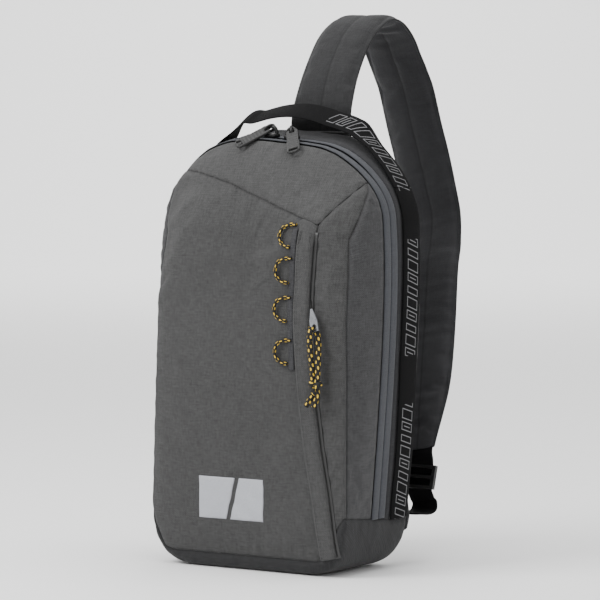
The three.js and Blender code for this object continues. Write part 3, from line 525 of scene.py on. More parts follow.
def make_materials():
    return {
        "yoke": woven_fabric("yoke_fabric", srgb(65, 65, 65)),
        "lower": woven_fabric("lower_fabric", srgb(61, 61, 61)),
        "side": woven_fabric("side_fabric", srgb(60, 60, 61)),
        # The rear gusset is the shell cloth painted darker: painted shade for the shadow of the webbing and
        # the handle.
        "rear": woven_fabric("rear_painted_shade_fabric", srgb(42, 42, 44)),
        "base": woven_fabric("base_fabric", srgb(42, 42, 43)),
        "strap": woven_fabric("strap_fabric", srgb(40, 40, 41)),
        "lining": woven_fabric("lining_fabric", srgb(46, 46, 48), contrast=0.25, roughness=0.7),
        "tape": woven_fabric("zip_tape_weave", srgb(58, 60, 65), yarn=0.0016, contrast=0.3, roughness=0.62),
        "grosgrain": woven_fabric("grosgrain", srgb(56, 56, 58), yarn=0.0018, contrast=0.6, depth=0.0003),
        "webbing": printed_webbing("side_webbing_print", srgb(9, 9, 10), srgb(128, 128, 130)),
        "webbing_plain": printed_webbing("plain_webbing", srgb(9, 9, 10), srgb(110), printed=False),
        "cord": braided_cord("braided_cord"),
        "thread": moulded("thread", srgb(34), srgb(62), 0.7, 3000),
        "coil": moulded("zip_coil_nylon", srgb(28), srgb(48), 0.4),
        "slider": moulded("black_plated_metal", srgb(24), srgb(58), 0.34, metallic=0.75),
        "puller": moulded("moulded_puller", srgb(14), srgb(48), 0.5, 1500, depth=0.0003),
        "bright": moulded("brushed_metal", srgb(120, 122, 126), srgb(188, 190, 194), 0.3, metallic=0.9),
        "plastic": moulded("acetal_plastic", srgb(8), srgb(24), 0.42),
        "mark": reflective_print("reflective_film"),
        "foam": foam_skin("open_cell_foam"),
    }


# ---- The body's skin ----

ROWS = 440
WALL_SEGMENTS = (5, 6, 4, 4, 4, 4, 4)
FACE_STEPS = 28
REAR_SEGMENTS = (7, 2, 6, 6, 3, 3, 5)
BACK_STEPS = 18


def outline_loop():
    """The outline at the zip's front seam, evenly spaced, from the bottom middle up the right side."""
    arch_z = TOP_HEIGHT - ARCH_RADIUS
    arch = [(CROWN_HALF + ARCH_RADIUS * math.sin(a), arch_z + ARCH_RADIUS * math.cos(a))
            for a in np.linspace(0, ARCH_SWEEP, 40)]
    shoulder_x = CROWN_HALF + (ARCH_RADIUS - SHOULDER_RADIUS) * math.sin(ARCH_SWEEP)
    shoulder_z = arch_z + (ARCH_RADIUS - SHOULDER_RADIUS) * math.cos(ARCH_SWEEP)
    shoulder = [(shoulder_x + SHOULDER_RADIUS * math.sin(a), shoulder_z + SHOULDER_RADIUS * math.cos(a))
                for a in np.linspace(ARCH_SWEEP, math.pi / 2, 30)[1:]]
    side_x, side_z = shoulder[-1]
    side = bezier((side_x, side_z), (side_x + 5, 255), (113, 150), SIDE_LOW, 60)
    corner = bezier(SIDE_LOW, (101.4, 14), (90, 0), (FLAT_HALF, 0), 40)
    half = np.vstack([[(0, TOP_HEIGHT)], arch, shoulder, side, corner, [(0, 0)]])[::-1]
    loop = np.vstack([half, (half * (-1, 1))[::-1][1:]])
    return resample(loop, ROWS + 1)[:-1]


OUTLINE = outline_loop()
OUTLINE_PITCH = arc_lengths(np.vstack([OUTLINE, OUTLINE[:1]]))[-1] / ROWS


def spine_of(points):
    return np.stack([np.zeros(len(points)), np.clip(points[:, 1], SPINE_LOW, SPINE_HIGH)], 1)


def climb_angle(points):
    return np.degrees(np.arctan2(points[:, 1] - SPINE_HIGH, np.abs(points[:, 0])))


def bottom_share(points):
    return 1 - smooth(3, 46, points[:, 1])


def front_profile(points):
    """For each outline point, the steps from the zip's front seam to the face, as [inset, Y]."""
    angle = climb_angle(points)
    side_run = np.maximum(1.2, np.abs(points[:, 0]) - FRONT_HALF_WIDTH)
    depth = read_curve(ARRIS_DEPTH, angle)
    arris = np.maximum(1, side_run * (ZIP_FRONT_Y - depth) / 40.5)
    run = np.maximum(arris + 4, read_curve(SLOPE_RUN, angle))
    steps = [(f * arris, mix(ZIP_FRONT_Y, depth, f)) for f in (0, 0.35, 0.75, 1)]
    steps += [(mix(arris, run, f), mix(depth, -54, g)) for f, g in ((0.33, 0.42), (0.7, 0.8))]
    steps += [(run, -53.6 + 0 * run), (run + 10, FRONT_Y + 0 * run)]
    side = np.array(steps).transpose(2, 0, 1)
    bottom = np.array([(0, -10), (0, -24), (0, -37), (0.4, -45), (1.8, -49.5), (4.8, -52.4), (10, -54),
                       (22, FRONT_Y)], float)
    return mix(side, bottom, bottom_share(points)[:, None, None])


def rear_profile(points):
    """The same to the back face."""
    side = np.array([(0, -10), (0, 11), (0, 17), (0, 34), (0.3, 50), (3.2, 54.6), (10, 56), (24, BACK_Y)],
                    float)
    top = np.array([(0, -10), (-3.5, 11), (-4.6, 17), (-7.8, 34), (-8.3, 50), (-5, 54.6), (2, 56),
                    (18, BACK_Y)], float)
    bottom = np.array([(0, -10), (0, 11), (0, 17), (0, 34), (1.6, 46), (6, 52), (13, 55.2),
                       (26, BACK_Y)], float)
    top_share = smooth(35, 60, climb_angle(points))[:, None, None]
    return mix(mix(side, top, top_share), bottom, bottom_share(points)[:, None, None])


def profile_columns(profile, segments):
    """Splits a profile's segments, so every row has the same columns."""
    columns = [profile[:, 0]]
    for k, count in enumerate(segments):
        for i in range(1, count + 1):
            columns.append(mix(profile[:, k], profile[:, k + 1], i / count))
    return np.stack(columns, 1)


def soften(grid, passes_across, passes_along, keep=1):
    """Rounds a grid's creases. The first columns stay, and rows wrap round."""
    grid = grid.copy()
    for _ in range(passes_across):
        grid[:, keep:-1] = (grid[:, keep - 1:-2] + 2 * grid[:, keep:-1] + grid[:, keep + 1:]) / 4
    for _ in range(passes_along):
        grid[:, keep:] = (np.roll(grid, 1, 0)[:, keep:] + 2 * grid[:, keep:]
                          + np.roll(grid, -1, 0)[:, keep:]) / 4
    return grid


def to_space(points, columns):
    """Places [inset, Y] columns of each outline point in space."""
    spine = spine_of(points)
    inward = unit(spine - points)
    inset, y = columns[..., 0], columns[..., 1]
    return np.stack([points[:, None, 0] + inward[:, None, 0] * inset, y,
                     points[:, None, 1] + inward[:, None, 1] * inset], -1)


def body_grid():
    """Rows round the outline, columns from the front's spine over the zip to the back's spine."""
    length = np.linalg.norm(spine_of(OUTLINE) - OUTLINE, axis=1)
    front = profile_columns(front_profile(OUTLINE), WALL_SEGMENTS)
    edge = front[:, -1, 0]
    face = [np.stack([mix(edge, length, f), FRONT_Y - PANEL_CROWN * f * (2 - f) + 0 * edge], 1)
            for f in np.arange(1, FACE_STEPS + 1) / FACE_STEPS]
    front = np.concatenate([front, np.stack(face, 1)], 1)
    front = soften(to_space(OUTLINE, front), 7, 3)
    rear = profile_columns(rear_profile(OUTLINE), REAR_SEGMENTS)
    edge = rear[:, -1, 0]
    face = [np.stack([mix(edge, length, f), BACK_Y + 0 * edge], 1)
            for f in np.arange(1, BACK_STEPS + 1) / BACK_STEPS]
    rear = soften(to_space(OUTLINE, np.concatenate([rear, np.stack(face, 1)], 1)), 3, 2, 8)
    return np.concatenate([front[:, ::-1], rear[:, 1:]], 1)


def lean(points):
    """Moves what lies left of the middle outwards near the bottom, inwards above, and lifts the shoulders."""
    x, y, z = np.moveaxis(np.array(points, float), -1, 0)
    share = np.clip(-x / LEAN_REACH, 0, 1)
    at_top = smooth(300, 365, z) * (1 - smooth(390, 415, z))
    return np.stack([x + share * read_curve(LEFT_LEAN, z), y, z + at_top * read_curve(TOP_RISE, x)], -1)


UPRIGHT_GRID = body_grid()
GRID = lean(UPRIGHT_GRID)
FRONT_COLUMNS = sum(WALL_SEGMENTS) + FACE_STEPS
ZIP_COLUMN = FRONT_COLUMNS
ZIP_REAR_COLUMN = ZIP_COLUMN + REAR_SEGMENTS[0]
GUSSET_REAR_COLUMN = ZIP_COLUMN + sum(REAR_SEGMENTS[:4])


def base_seam_height(x, y):
    side = smooth(75, 102, np.abs(x))
    return read_curve(BASE_SEAM, x) - side * SEAM_TILT * (y - ZIP_FRONT_Y)


def seam_values(points):
    """Signed distances, roughly in mm: above the yoke's seam, right of the placket, above the base seam, and
    outside the side gusset's seam."""
    x, y, z = points[..., 0], points[..., 1], points[..., 2]
    in_from_zip = FRONT_COLUMNS - np.broadcast_to(np.arange(points.shape[1])[None, :], z.shape)
    return (z - read_curve(V_SEAM, x), x - read_curve(PLACKET_MIDDLE, z) - POCKET_EDGE,
            z - base_seam_height(x, y), 2.6 * (read_curve(GUSSET_SEAM, z) - in_from_zip))


def slide_to_seam(bm, layer, layers, near=0.28):
    """Moves points that lie close to a seam onto it, so that the cut leaves no slivers."""
    moves = {}
    for edge in bm.edges:
        a, b = edge.verts
        fa, fb = a[layer], b[layer]
        if fa * fb >= 0:
            continue
        t = fa / (fa - fb)
        if t < near and a not in moves:
            moves[a] = (b, t)
        elif t > 1 - near and b not in moves:
            moves[b] = (a, 1 - t)
    targets = []
    for v, (other, t) in moves.items():
        values = [mix(v[k], other[k], t) for k in layers]
        targets.append((v, v.co.lerp(other.co, t), values))
    for v, co, values in targets:
        v.co = co
        for k, value in zip(layers, values):
            v[k] = value
        v[layer] = 0.0


def cut_along(bm, layer, layers, where):
    """Splits the faces along a seam, where a layer's value passes through nought."""
    slide_to_seam(bm, layer, layers)
    for edge in list(bm.edges):
        a, b = edge.verts
        fa, fb = a[layer], b[layer]
        if fa * fb < 0 and where(edge):
            t = fa / (fa - fb)
            values = [mix(a[k], b[k], t) for k in layers]
            _, vert = bmesh.utils.edge_split(edge, a, t)
            for k, value in zip(layers, values):
                vert[k] = value
            vert[layer] = 0.0
    bmesh.ops.connect_verts(bm, verts=[v for v in bm.verts if abs(v[layer]) < 1e-6])


def cut_body():
    """The whole skin as one mesh in mm, cut along its seams, with its regions told apart."""
    rows, columns = GRID.shape[:2]
    bm = bmesh.new()
    names = ("yoke", "placket", "base", "gusset", "arc", "column")
    layers = [bm.verts.layers.float.new(name) for name in names]
    values = [*seam_values(UPRIGHT_GRID),
              np.broadcast_to(np.arange(rows)[:, None] * OUTLINE_PITCH, (rows, columns)),
              np.broadcast_to(np.arange(columns)[None, :], (rows, columns))]
    verts = []
    for i in range(rows):
        for j in range(columns):
            v = bm.verts.new(GRID[i, j])
            for layer, value in zip(layers, values):
                v[layer] = float(value[i, j])
            verts.append(v)
    for face in grid_faces(rows, columns, wrap_rows=True):
        bm.faces.new([verts[k] for k in face])
    yoke, placket, base, gusset, _, column = layers

    def in_front(edge):
        return max(v[column] for v in edge.verts) <= ZIP_COLUMN

    def below_yoke(edge):
        return (in_front(edge) and min(v[base] for v in edge.verts) > -0.01
                and max(v[yoke] for v in edge.verts) < 0.01)

    cut_along(bm, base, layers, lambda e: True)
    cut_along(bm, yoke, layers, in_front)
    cut_along(bm, gusset, layers, below_yoke)
    cut_along(bm, placket, layers, lambda e: below_yoke(e) and max(v[gusset] for v in e.verts) < 0.01)
    bmesh.ops.remove_doubles(bm, verts=bm.verts, dist=0.02)
    bm.normal_update()
    return bm, layers


def region_of(face, layers):
    """Which panel a face of the skin belongs to."""
    yoke, placket, base, gusset, arc, column = (sum(v[k] for v in face.verts) / len(face.verts)
                                                for k in layers)
    if base < 0:
        return "base"
    if column > GUSSET_REAR_COLUMN:
        return "back"
    if column > ZIP_REAR_COLUMN:
        return "rear_gusset"
    if column > ZIP_COLUMN:
        return "zip"
    if yoke > 0:
        return "yoke"
    if gusset > 0:
        return "gusset_right" if arc < ROWS * OUTLINE_PITCH / 2 else "gusset_left"
    return "pocket" if placket > 0 else "main"


# ---- Panels ----

GROOVE_DEPTH = 1.5
GROOVE_REACH = 4.0
PUCKER_REACH = 12.0
PANEL_THICKNESS = 1.6
# Per region: name, body, material, slot, CAD node, and how lively the cloth is (mm).
PANELS = {
    "yoke": ("yoke_cloth", "bag_front", "yoke", "shell_fabric", "yoke_panel", 0.35),
    "main": ("front_main_cloth", "bag_front", "lower", "lower_fabric", "front_main_panel", 0.6),
    "pocket": ("pocket_front_cloth", "bag_front", "lower", "lower_fabric", "pocket_front_panel", 1.9),
    "gusset_right": ("side_gusset_right_cloth", "bag_front", "side", "lower_fabric", "side_gusset_right",
                     1.0),
    "gusset_left": ("side_gusset_left_cloth", "bag_front", "side", "lower_fabric", "side_gusset_left", 1.0),
    "base": ("base_cloth", "bag_back", "base", "lower_fabric", "base_panel", 0.8),
    "rear_gusset": ("rear_gusset_cloth", "bag_back", "rear", "shell_fabric", "rear_gusset", 0.3),
    "back": ("back_cloth", "bag_back", "lower", "lower_fabric", "back_panel", 0.5),
}


# How much spare cloth the liveliest panels have, which settles into wrinkles.
SPARE_CLOTH = {"pocket": 0.035, "main": 0.012, "gusset_right": 0.03, "gusset_left": 0.03, "yoke": 0.01}


def region_mesh(layers, faces):
    """Points, faces and the arc and column values of some faces of the skin."""
    verts = sorted({v for f in faces for v in f.verts}, key=lambda v: v.index)
    index = {v: i for i, v in enumerate(verts)}
    return (np.array([v.co for v in verts]), [[index[v] for v in f.verts] for f in faces],
            np.array([[v[k] for k in layers] for v in verts]))


def boundary_of(points, faces):
    """Points on the open edge of a mesh, with extra ones between them."""
    count = {}
    for f in faces:
        for a, b in zip(f, f[1:] + f[:1]):
            key = (min(a, b), max(a, b))
            count[key] = count.get(key, 0) + 1
    ends = np.array([k for k, c in count.items() if c == 1])
    a, b = points[ends[:, 0]], points[ends[:, 1]]
    return np.vstack([mix(a, b, f) for f in (0, 0.25, 0.5, 0.75)])


def edge_distance(points, boundary, limit=40.0):
    """Distance from each point to the open edge, and the nearest point on it."""
    tree = KDTree(len(boundary))
    for i, p in enumerate(boundary):
        tree.insert(p, i)
    tree.balance()
    found = [tree.find(p) for p in points]
    return np.minimum([f[2] for f in found], limit), np.array([f[0] for f in found])


def mesh_normals(points, faces):
    mesh = bpy.data.meshes.new("scratch")
    mesh.from_pydata(points.tolist(), [], faces)
    mesh.update()
    normals = np.array([v.normal for v in mesh.vertices])
    bpy.data.meshes.remove(mesh)
    return normals


def shape_cloth(region, points, normals, distance, nearest, lively):
    """Rolls a panel down into its seams, gathers it beside them, and gives it soft wrinkles."""
    inside = np.clip(1 - distance / GROOVE_REACH, 0, 1)
    lift = -GROOVE_DEPTH * inside ** 2
    gather = np.exp(-distance / PUCKER_REACH) * (1 - inside)
    lift += lively * gather * noise_at(nearest, 6.5, 3.1) * 1.3
    broad = smooth(4, 30, distance)
    lift += lively * broad * (1.1 * noise_at(points, (42, 60, 30), 7.7)
                              + 0.5 * noise_at(points, (15, 30, 22), 1.9))
    if region in ("pocket", "main"):
        slanted = points @ np.array([[0.6, 0, 0.8], [0, 1, 0], [-0.8, 0, 0.6]]).T
        lift += lively * broad * 1.9 * noise_at(slanted, (8.5, 40, 38), 12.3)
    return points + normals * lift[:, None]


CLOTH_FRAMES = 20
MESH_POLES = ((0, FRONT_Y - PANEL_CROWN, SPINE_LOW), (0, FRONT_Y - PANEL_CROWN, SPINE_HIGH))


def settle_cloth(obj, pinned, cap, spare, pressure=4.0, calm=()):
    """Lets a piece of cloth settle under the padding's pressure, held at its pinned points.

    spare is the share of extra cloth that gathers into wrinkles, and cap is how far each point may move (mm).
    Round each calm point the mesh is crowded, so the cloth there moves as one."""
    scene = bpy.context.scene
    rest = np.array([v.co for v in obj.data.vertices])
    group = obj.vertex_groups.new(name="sewn")
    group.add(np.flatnonzero(pinned).tolist(), 1.0, "REPLACE")
    cloth = obj.modifiers.new("cloth", "CLOTH")
    cloth.settings.quality = 4
    cloth.settings.mass = 0.05
    cloth.settings.tension_stiffness = cloth.settings.compression_stiffness = 12
    cloth.settings.shear_stiffness = 6
    cloth.settings.bending_stiffness = 0.4
    cloth.settings.vertex_group_mass = group.name
    cloth.settings.shrink_min = -spare
    cloth.settings.use_pressure = True
    cloth.settings.uniform_pressure_force = pressure
    cloth.settings.effector_weights.gravity = 0
    cloth.point_cache.frame_start, cloth.point_cache.frame_end = 1, CLOTH_FRAMES
    for number in range(1, CLOTH_FRAMES + 1):
        scene.frame_set(number)
    settled = obj.evaluated_get(bpy.context.evaluated_depsgraph_get()).data
    moved = np.array([v.co for v in settled.vertices]) - rest
    length = np.linalg.norm(moved, axis=1, keepdims=True)
    room = np.asarray(cap, float)[:, None] * MM
    moved *= room * np.tanh(length / room) / np.maximum(length, 1e-9)
    for pole in calm:
        gap = np.linalg.norm(rest / MM - pole, axis=1)
        ring = (gap > 8) & (gap < 15)
        if ring.any():
            share = 1 - smooth(5, 13, gap)
            moved = mix(moved, moved[ring].mean(0), share[:, None])
    obj.modifiers.clear()
    obj.vertex_groups.clear()
    scene.frame_set(1)
    obj.data.vertices.foreach_set("co", (rest + moved).ravel())
    obj.data.update()


def weave_of(region, points, arc, distance):
    """Where each point lies on its cloth: across, along, and how far it is from a seam."""
    x, y, z = points.T
    if region in ("gusset_right", "gusset_left", "rear_gusset"):
        return np.stack([y, arc, distance], 1)
    if region == "base":
        return np.stack([x + y * 0.35, z + y, distance], 1)
    return np.stack([x, z, distance], 1)


def make_panels(materials):
    """Every sewn panel of the body, as its own closed piece of cloth."""
    bm, layers = cut_body()
    regions = {}
    for face in bm.faces:
        regions.setdefault(region_of(face, layers), []).append(face)
    made = {}
    for region, (name, body, material, slot, node, lively) in PANELS.items():
        points, faces, values = region_mesh(layers, regions[region])
        boundary = boundary_of(points, faces)
        distance, nearest = edge_distance(points, boundary)
        normals = mesh_normals(points, faces)
        shaped = shape_cloth(region, points, normals, distance, nearest, lively)
        # The third weave value, the distance from a seam, drives the fabric's painted seam shade.
        weave = weave_of(region, points, values[:, 4], distance)
        obj = make_object(name, shaped, faces, weave, materials[material])
        if region in SPARE_CLOTH:
            cap = np.maximum(np.clip(distance - 3, 0, 10) * 0.25, 0.01)
            settle_cloth(obj, distance < 3, cap, SPARE_CLOTH[region], calm=MESH_POLES)
        made[region] = (subdivide(obj), body, slot, node)
    bm.free()
    return made


def skin_tree(objects):
    """A tree of the front's finished cloth, in metres, to lay other pieces on."""
    verts, faces = [], []
    for obj in objects:
        start = len(verts)
        verts += [v.co.copy() for v in obj.data.vertices]
        faces += [[start + k for k in p.vertices] for p in obj.data.polygons]
    return BVHTree.FromPolygons(verts, faces)


def thicken(obj, materials):
    """Gives a panel its thickness, with the lining cloth on its inside."""
    obj.data.materials.append(materials["lining"])
    modifier = obj.modifiers.new("thickness", "SOLIDIFY")
    modifier.thickness = PANEL_THICKNESS * MM
    modifier.offset = -1
    modifier.material_offset = 1
    modifier.material_offset_rim = 0
    return apply_modifiers(obj)


def settle_panels(panels, materials):
    for region, (obj, body, slot, node) in panels.items():
        thicken(obj, materials)
        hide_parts(node)
        if region in ("gusset_right", "gusset_left"):
            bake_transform(obj)
        else:
            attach(obj, body)


# ---- Laying pieces on the skin ----

class Skin:
    """The front's finished surface, asked for in mm."""

    def __init__(self, objects):
        self.tree = skin_tree(objects)

    def at(self, x, z, lift=0.0):
        hit, normal, _, _ = self.tree.ray_cast(Vector((x, -200, z)) * MM, Vector((0, 1, 0)))
        if hit is None:
            return np.array((x, FRONT_Y, z)), np.array((0.0, -1.0, 0.0))
        if normal.y > 0:
            normal = -normal
        return np.array(hit / MM + normal * lift), np.array(normal)

    def line(self, points, lift):
        """Lays a line of [x, z] on the front, and gives its points and normals, both evened out."""
        found = [self.at(x, z) for x, z in points]
        place_at = np.array([f[0] for f in found])
        normal = np.array([f[1] for f in found])
        for _ in range(40):
            normal[1:-1] = (normal[:-2] + 2 * normal[1:-1] + normal[2:]) / 4
            place_at[1:-1, 1] = (place_at[:-2, 1] + 2 * place_at[1:-1, 1] + place_at[2:, 1]) / 4
        normal = unit(normal)
        return place_at + normal * lift, normal


def tangents(points):
    return unit(np.gradient(points, axis=0))


def ribbon(name, points, normals, width, thickness, material, crown=0.0, steps=12, edge=0.35, start=0.0):
    """A flat strap with rounded edges along a line. normals point out of its face; width may vary."""
    points, normals = np.asarray(points, float), unit(np.asarray(normals, float))
    across = unit(np.cross(tangents(points), normals))
    normals = unit(np.cross(across, tangents(points)))
    widths = np.broadcast_to(np.asarray(width, float), (len(points),))
    u_top = np.sin(np.linspace(-math.pi / 2, math.pi / 2, steps + 1))
    u = np.concatenate([u_top, u_top[::-1]])
    rise = np.concatenate([mix(edge, 1, (1 - u_top ** 8)) / 2,
                           -mix(edge, 1, (1 - u_top[::-1] ** 8)) / 2]) * thickness
    rise += crown * (1 - u ** 2)
    verts = (points[:, None] + across[:, None] * (u[None, :, None] * widths[:, None, None] / 2)
             + normals[:, None] * rise[None, :, None])
    s = arc_lengths(points) + start
    m = len(u)
    # The third value is the distance in from the edge on the top face and nought underneath; woven cloth
    # turns it into painted shade along the edges and over the whole underside.
    weave = np.stack([u[None, :] * widths[:, None] / 2 + 0 * s[:, None], s[:, None] + 0 * u[None, :],
                      (rise - crown * (1 - u ** 2) > 0) * (0.3 + (1 - np.abs(u)) * widths[:, None] / 2)], -1)
    faces = grid_faces(len(points), m, wrap_columns=True)
    faces += [list(range(m))[::-1], [(len(points) - 1) * m + k for k in range(m)]]
    return outward(make_object(name, verts.reshape(-1, 3), faces, weave.reshape(-1, 3), material))


def tube_frames(points):
    """Two directions across a line, carried along it without twist."""
    t = tangents(points)
    first = np.cross(t[0], (0, 0, 1) if abs(t[0][2]) < 0.9 else (1, 0, 0))
    sides = [unit(first)]
    for k in range(1, len(points)):
        sides.append(unit(sides[-1] - t[k] * np.dot(sides[-1], t[k])))
    sides = np.array(sides)
    return sides, np.cross(t, sides)


def tube(name, points, diameter, material, sides=14, bumps=0.0, bump_pitch=2.0, closed=False):
    """A round cord along a line. Its weave attribute holds the turn round it and the length along it."""
    points = np.asarray(points, float)
    a, b = tube_frames(points)
    s = arc_lengths(points)
    angle = np.linspace(0, 2 * math.pi, sides, endpoint=False)
    swell = 1 + bumps * np.sin(2 * math.pi * s[:, None] / bump_pitch + 2 * angle[None, :]) * np.sin(
        2 * math.pi * s[:, None] / bump_pitch - 2 * angle[None, :])
    radius = diameter / 2 * swell
    verts = (points[:, None] + a[:, None] * (np.cos(angle)[None, :] * radius)[..., None]
             + b[:, None] * (np.sin(angle)[None, :] * radius)[..., None])
    turn = np.abs(angle / math.pi - 1)
    weave = np.stack([np.broadcast_to(turn[None, :] * 0.5, (len(s), sides)),
                      np.broadcast_to(s[:, None], (len(s), sides)), 0 * radius], -1)
    faces = grid_faces(len(points), sides, wrap_columns=True, wrap_rows=closed)
    if not closed:
        faces += [list(range(sides))[::-1], [(len(points) - 1) * sides + k for k in range(sides)]]
    return outward(make_object(name, verts.reshape(-1, 3), faces, weave.reshape(-1, 3), material))


def stitch_row(points, normals, pitch=3.4, length=2.4, thick=0.55, sink=0.05):
    """Verts and faces of a row of thread stitches along a line that lies on cloth."""
    points = np.asarray(points, float)
    s = arc_lengths(points)
    verts, faces = [], []
    sides = 5
    for start in np.arange(pitch / 2, s[-1] - length, pitch):
        ks = start + length * np.array([0, 0.25, 0.75, 1])
        p = np.stack([np.interp(ks, s, points[:, k]) for k in range(3)], 1)
        n = unit(np.stack([np.interp(ks, s, normals[:, k]) for k in range(3)], 1))
        across = unit(np.cross(tangents(p), n))
        base = len(verts)
        for k, (fat, up) in enumerate(((0.3, -0.4), (1, 0), (1, 0), (0.3, -0.4))):
            for a in np.linspace(0, 2 * math.pi, sides, endpoint=False):
                r = thick / 2 * fat
                verts.append(p[k] + across[k] * math.cos(a) * r
                             + n[k] * (math.sin(a) * r + (up - sink) * thick))
        faces += [[base + f for f in face] for face in grid_faces(4, sides, wrap_columns=True)]
        faces += [[base + k for k in range(sides)][::-1], [base + 3 * sides + k for k in range(sides)]]
    return verts, faces


def stitches(name, rows, material):
    """One piece that holds several rows of stitches."""
    verts, faces = [], []
    for points, normals in rows:
        v, f = stitch_row(points, normals)
        faces += [[len(verts) + k for k in face] for face in f]
        verts += v
    return make_object(name, verts, faces, None, material)


# ---- Zip ----

COIL_PITCH = 1.5


def outline_strip(points_from, points_to):
    """Indexes of the outline from one height on the right, over the top, to the same on the left."""
    z = OUTLINE[:, 1]
    middle = ROWS // 2
    right = np.argmin(np.abs(z[:middle] - points_from))
    left = middle + np.argmin(np.abs(z[middle:] - points_to))
    return np.arange(right, left + 1)


def outline_normals(points):
    t = tangents(points)
    n = np.stack([t[:, 1], -t[:, 0]], 1)
    return n if n[0, 0] > 0 else -n


def arch_line(lift, y, low_right, low_left):
    """A line along the outline's arch at a depth Y, lifted from the outline, with its outward normals."""
    rows = outline_strip(low_right, low_left)
    flat = OUTLINE[rows]
    normal = outline_normals(flat)
    column = np.interp(y, GRID[rows[0], ZIP_COLUMN:GUSSET_REAR_COLUMN, 1],
                       np.arange(ZIP_COLUMN, GUSSET_REAR_COLUMN))
    a = int(column)
    skin = mix(GRID[rows, a], GRID[rows, a + 1], column - a)
    points = np.stack([skin[:, 0] + normal[:, 0] * lift, 0 * rows + y, skin[:, 2] + normal[:, 1] * lift], 1)
    return points, np.stack([normal[:, 0], 0 * rows, normal[:, 1]], 1)


def make_zip(materials):
    """Two tapes that meet over the coil, and the coil of each under it."""
    low = base_seam_height(110, ZIP_MIDDLE_Y) + 0.6
    for side, middle, way in (("front", -4.95, -1), ("rear", 5.95, 1)):
        points, normals = arch_line(-0.5, middle, low, low)
        tape = ribbon(f"zip_tape_{side}_weave", points, normals, 10.6, 1.2, materials["tape"], crown=0.5)
        coil = make_coil(f"zip_coil_{side}_teeth", ZIP_MIDDLE_Y + way * 0.7, low, materials["coil"])
        for piece, slot, node in ((tape, "zip_tape", f"zip_tape_{side}"),
                                  (coil, "zip_coil", f"zip_coil_{side}")):
            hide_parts(node)
            if side == "front":
                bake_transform(piece)
            else:
                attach(piece, "bag_back")


def make_coil(name, y, low, material):
    """A nylon monofilament wound along the tape's edge."""
    points, normals = arch_line(-2.6, y, low, low)
    turns = int(arc_lengths(points)[-1] / COIL_PITCH)
    points = resample(np.hstack([points, normals]), turns * 8)
    phase = np.arange(len(points)) * 2 * math.pi / 8
    centre, normal = points[:, :3], unit(points[:, 3:])
    line = centre + normal * (np.sin(phase) * 0.8)[:, None]
    line[:, 1] += np.cos(phase) * 0.55
    return tube(name, line, 0.62, material, sides=4)


# ---- Webbing and handle ----

HANDLE_LINE = ((73.2, 382.5), (66, 391), (53, 400.5), (35, 409.5), (14, 415.5), (-6, 417.5), (-26, 415.5),
               (-46, 408.5), (-63, 397.5), (-73.2, 382.5))
WEBBING_Y = 32.0
WEBBING_SHOWN_WIDTH = 28            # it is drawn in a little by its stitching
HANDLE_TWIST = math.radians(25)     # the handle's top rolls forward, and sags a little
HANDLE_SAG = 3.5


def webbing_loop():
    """The webbing's whole line: up the right side, over the top as the handle, and down the left side."""
    low = base_seam_height(110, WEBBING_Y) + 0.8
    side, _ = arch_line(1.5, WEBBING_Y, low, low)
    leave = 79
    middle = len(side) // 2
    right = side[:middle][(side[:middle, 0] > leave) | (side[:middle, 2] < 300)]
    left = side[middle:][(side[middle:, 0] < -leave) | (side[middle:, 2] < 300)]
    handle = lean([(x, WEBBING_Y, z - HANDLE_SAG * smooth(395, 412, z)) for x, z in HANDLE_LINE[1:-1]])
    line = spline(np.vstack([right[::14], handle, left[::-14][::-1]]), 900)
    flat = unit(np.stack([line[:, 0], line[:, 2] - 200], 1))
    t = unit(np.gradient(line[:, [0, 2]], axis=0))
    normal = np.stack([t[:, 1], -t[:, 0]], 1)
    normal *= np.sign((normal * flat).sum(1))[:, None]
    out = np.stack([normal[:, 0], 0 * normal[:, 0], normal[:, 1]], 1)
    on_side = smooth(60, 130, line[:, 2]) * (1 - smooth(290, 350, line[:, 2]))
    sway = 0.4 * noise_at(line, 60, 4.4) + 0.5 * on_side
    line = line + out * sway[:, None]
    line[:, 1] += 1.2 * np.sin(line[:, 2] / 47) * smooth(60, 100, line[:, 2])
    twist = HANDLE_TWIST * smooth(380, 404, line[:, 2])
    out = out * np.cos(twist)[:, None] + np.array((0.0, -1.0, 0.0)) * np.sin(twist)[:, None]
    return line, out


def make_webbing(materials):
    """One length of webbing: its handle part starts a little way down each side and bends where it leaves."""
    line, out = webbing_loop()
    middle = len(line) // 2
    split = 345
    first = np.argmax(line[:middle, 2] > split)
    last = middle + np.argmax(line[middle:, 2] < split)
    parts = (("side_webbing_right", slice(0, first + 1)), ("carry_handle", slice(first, last + 1)),
             ("side_webbing_left", slice(None, last - 1, -1)))
    starts = {"carry_handle": arc_lengths(line)[first]}
    for node, take in parts:
        strip = ribbon(f"{node}_weave", line[take], out[take], WEBBING_SHOWN_WIDTH, 1.7,
                       materials["webbing"], crown=0.5,
                       start=starts.get(node, 0.0))
        subdivide(strip)
        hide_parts(node)
        if node == "carry_handle":
            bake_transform(strip)
        else:
            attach(strip, "bag_back")


# ---- Placket, daisy chain and mark ----

PLACKET_ROUTE = ((87.2, 17), (84, 37), (79.5, 71), (68.9, 132), (61.5, 203), (60.4, 247), (64, 315))
DAISY_ROUTE = ((50.2, 184), (49.6, 203), (48.6, 247), (50.6, 290), (51.6, 319.5))
LOOP_SPANS = ((314, 294), (284, 262), (249, 228), (211, 190))
LOOP_BULGE = 13.5
LOOP_DIAMETER = 2.9


def tuck_top(obj, slope, low, high, depth):
    """Slants a strip's top end along the yoke's seam and lets it down into the seam."""
    for v in obj.data.vertices:
        share = float(smooth(low, high, v.co.z / MM))
        v.co.y += depth * share * MM
        v.co.z += slope * share * (v.co.x - obj["middle"] * MM)


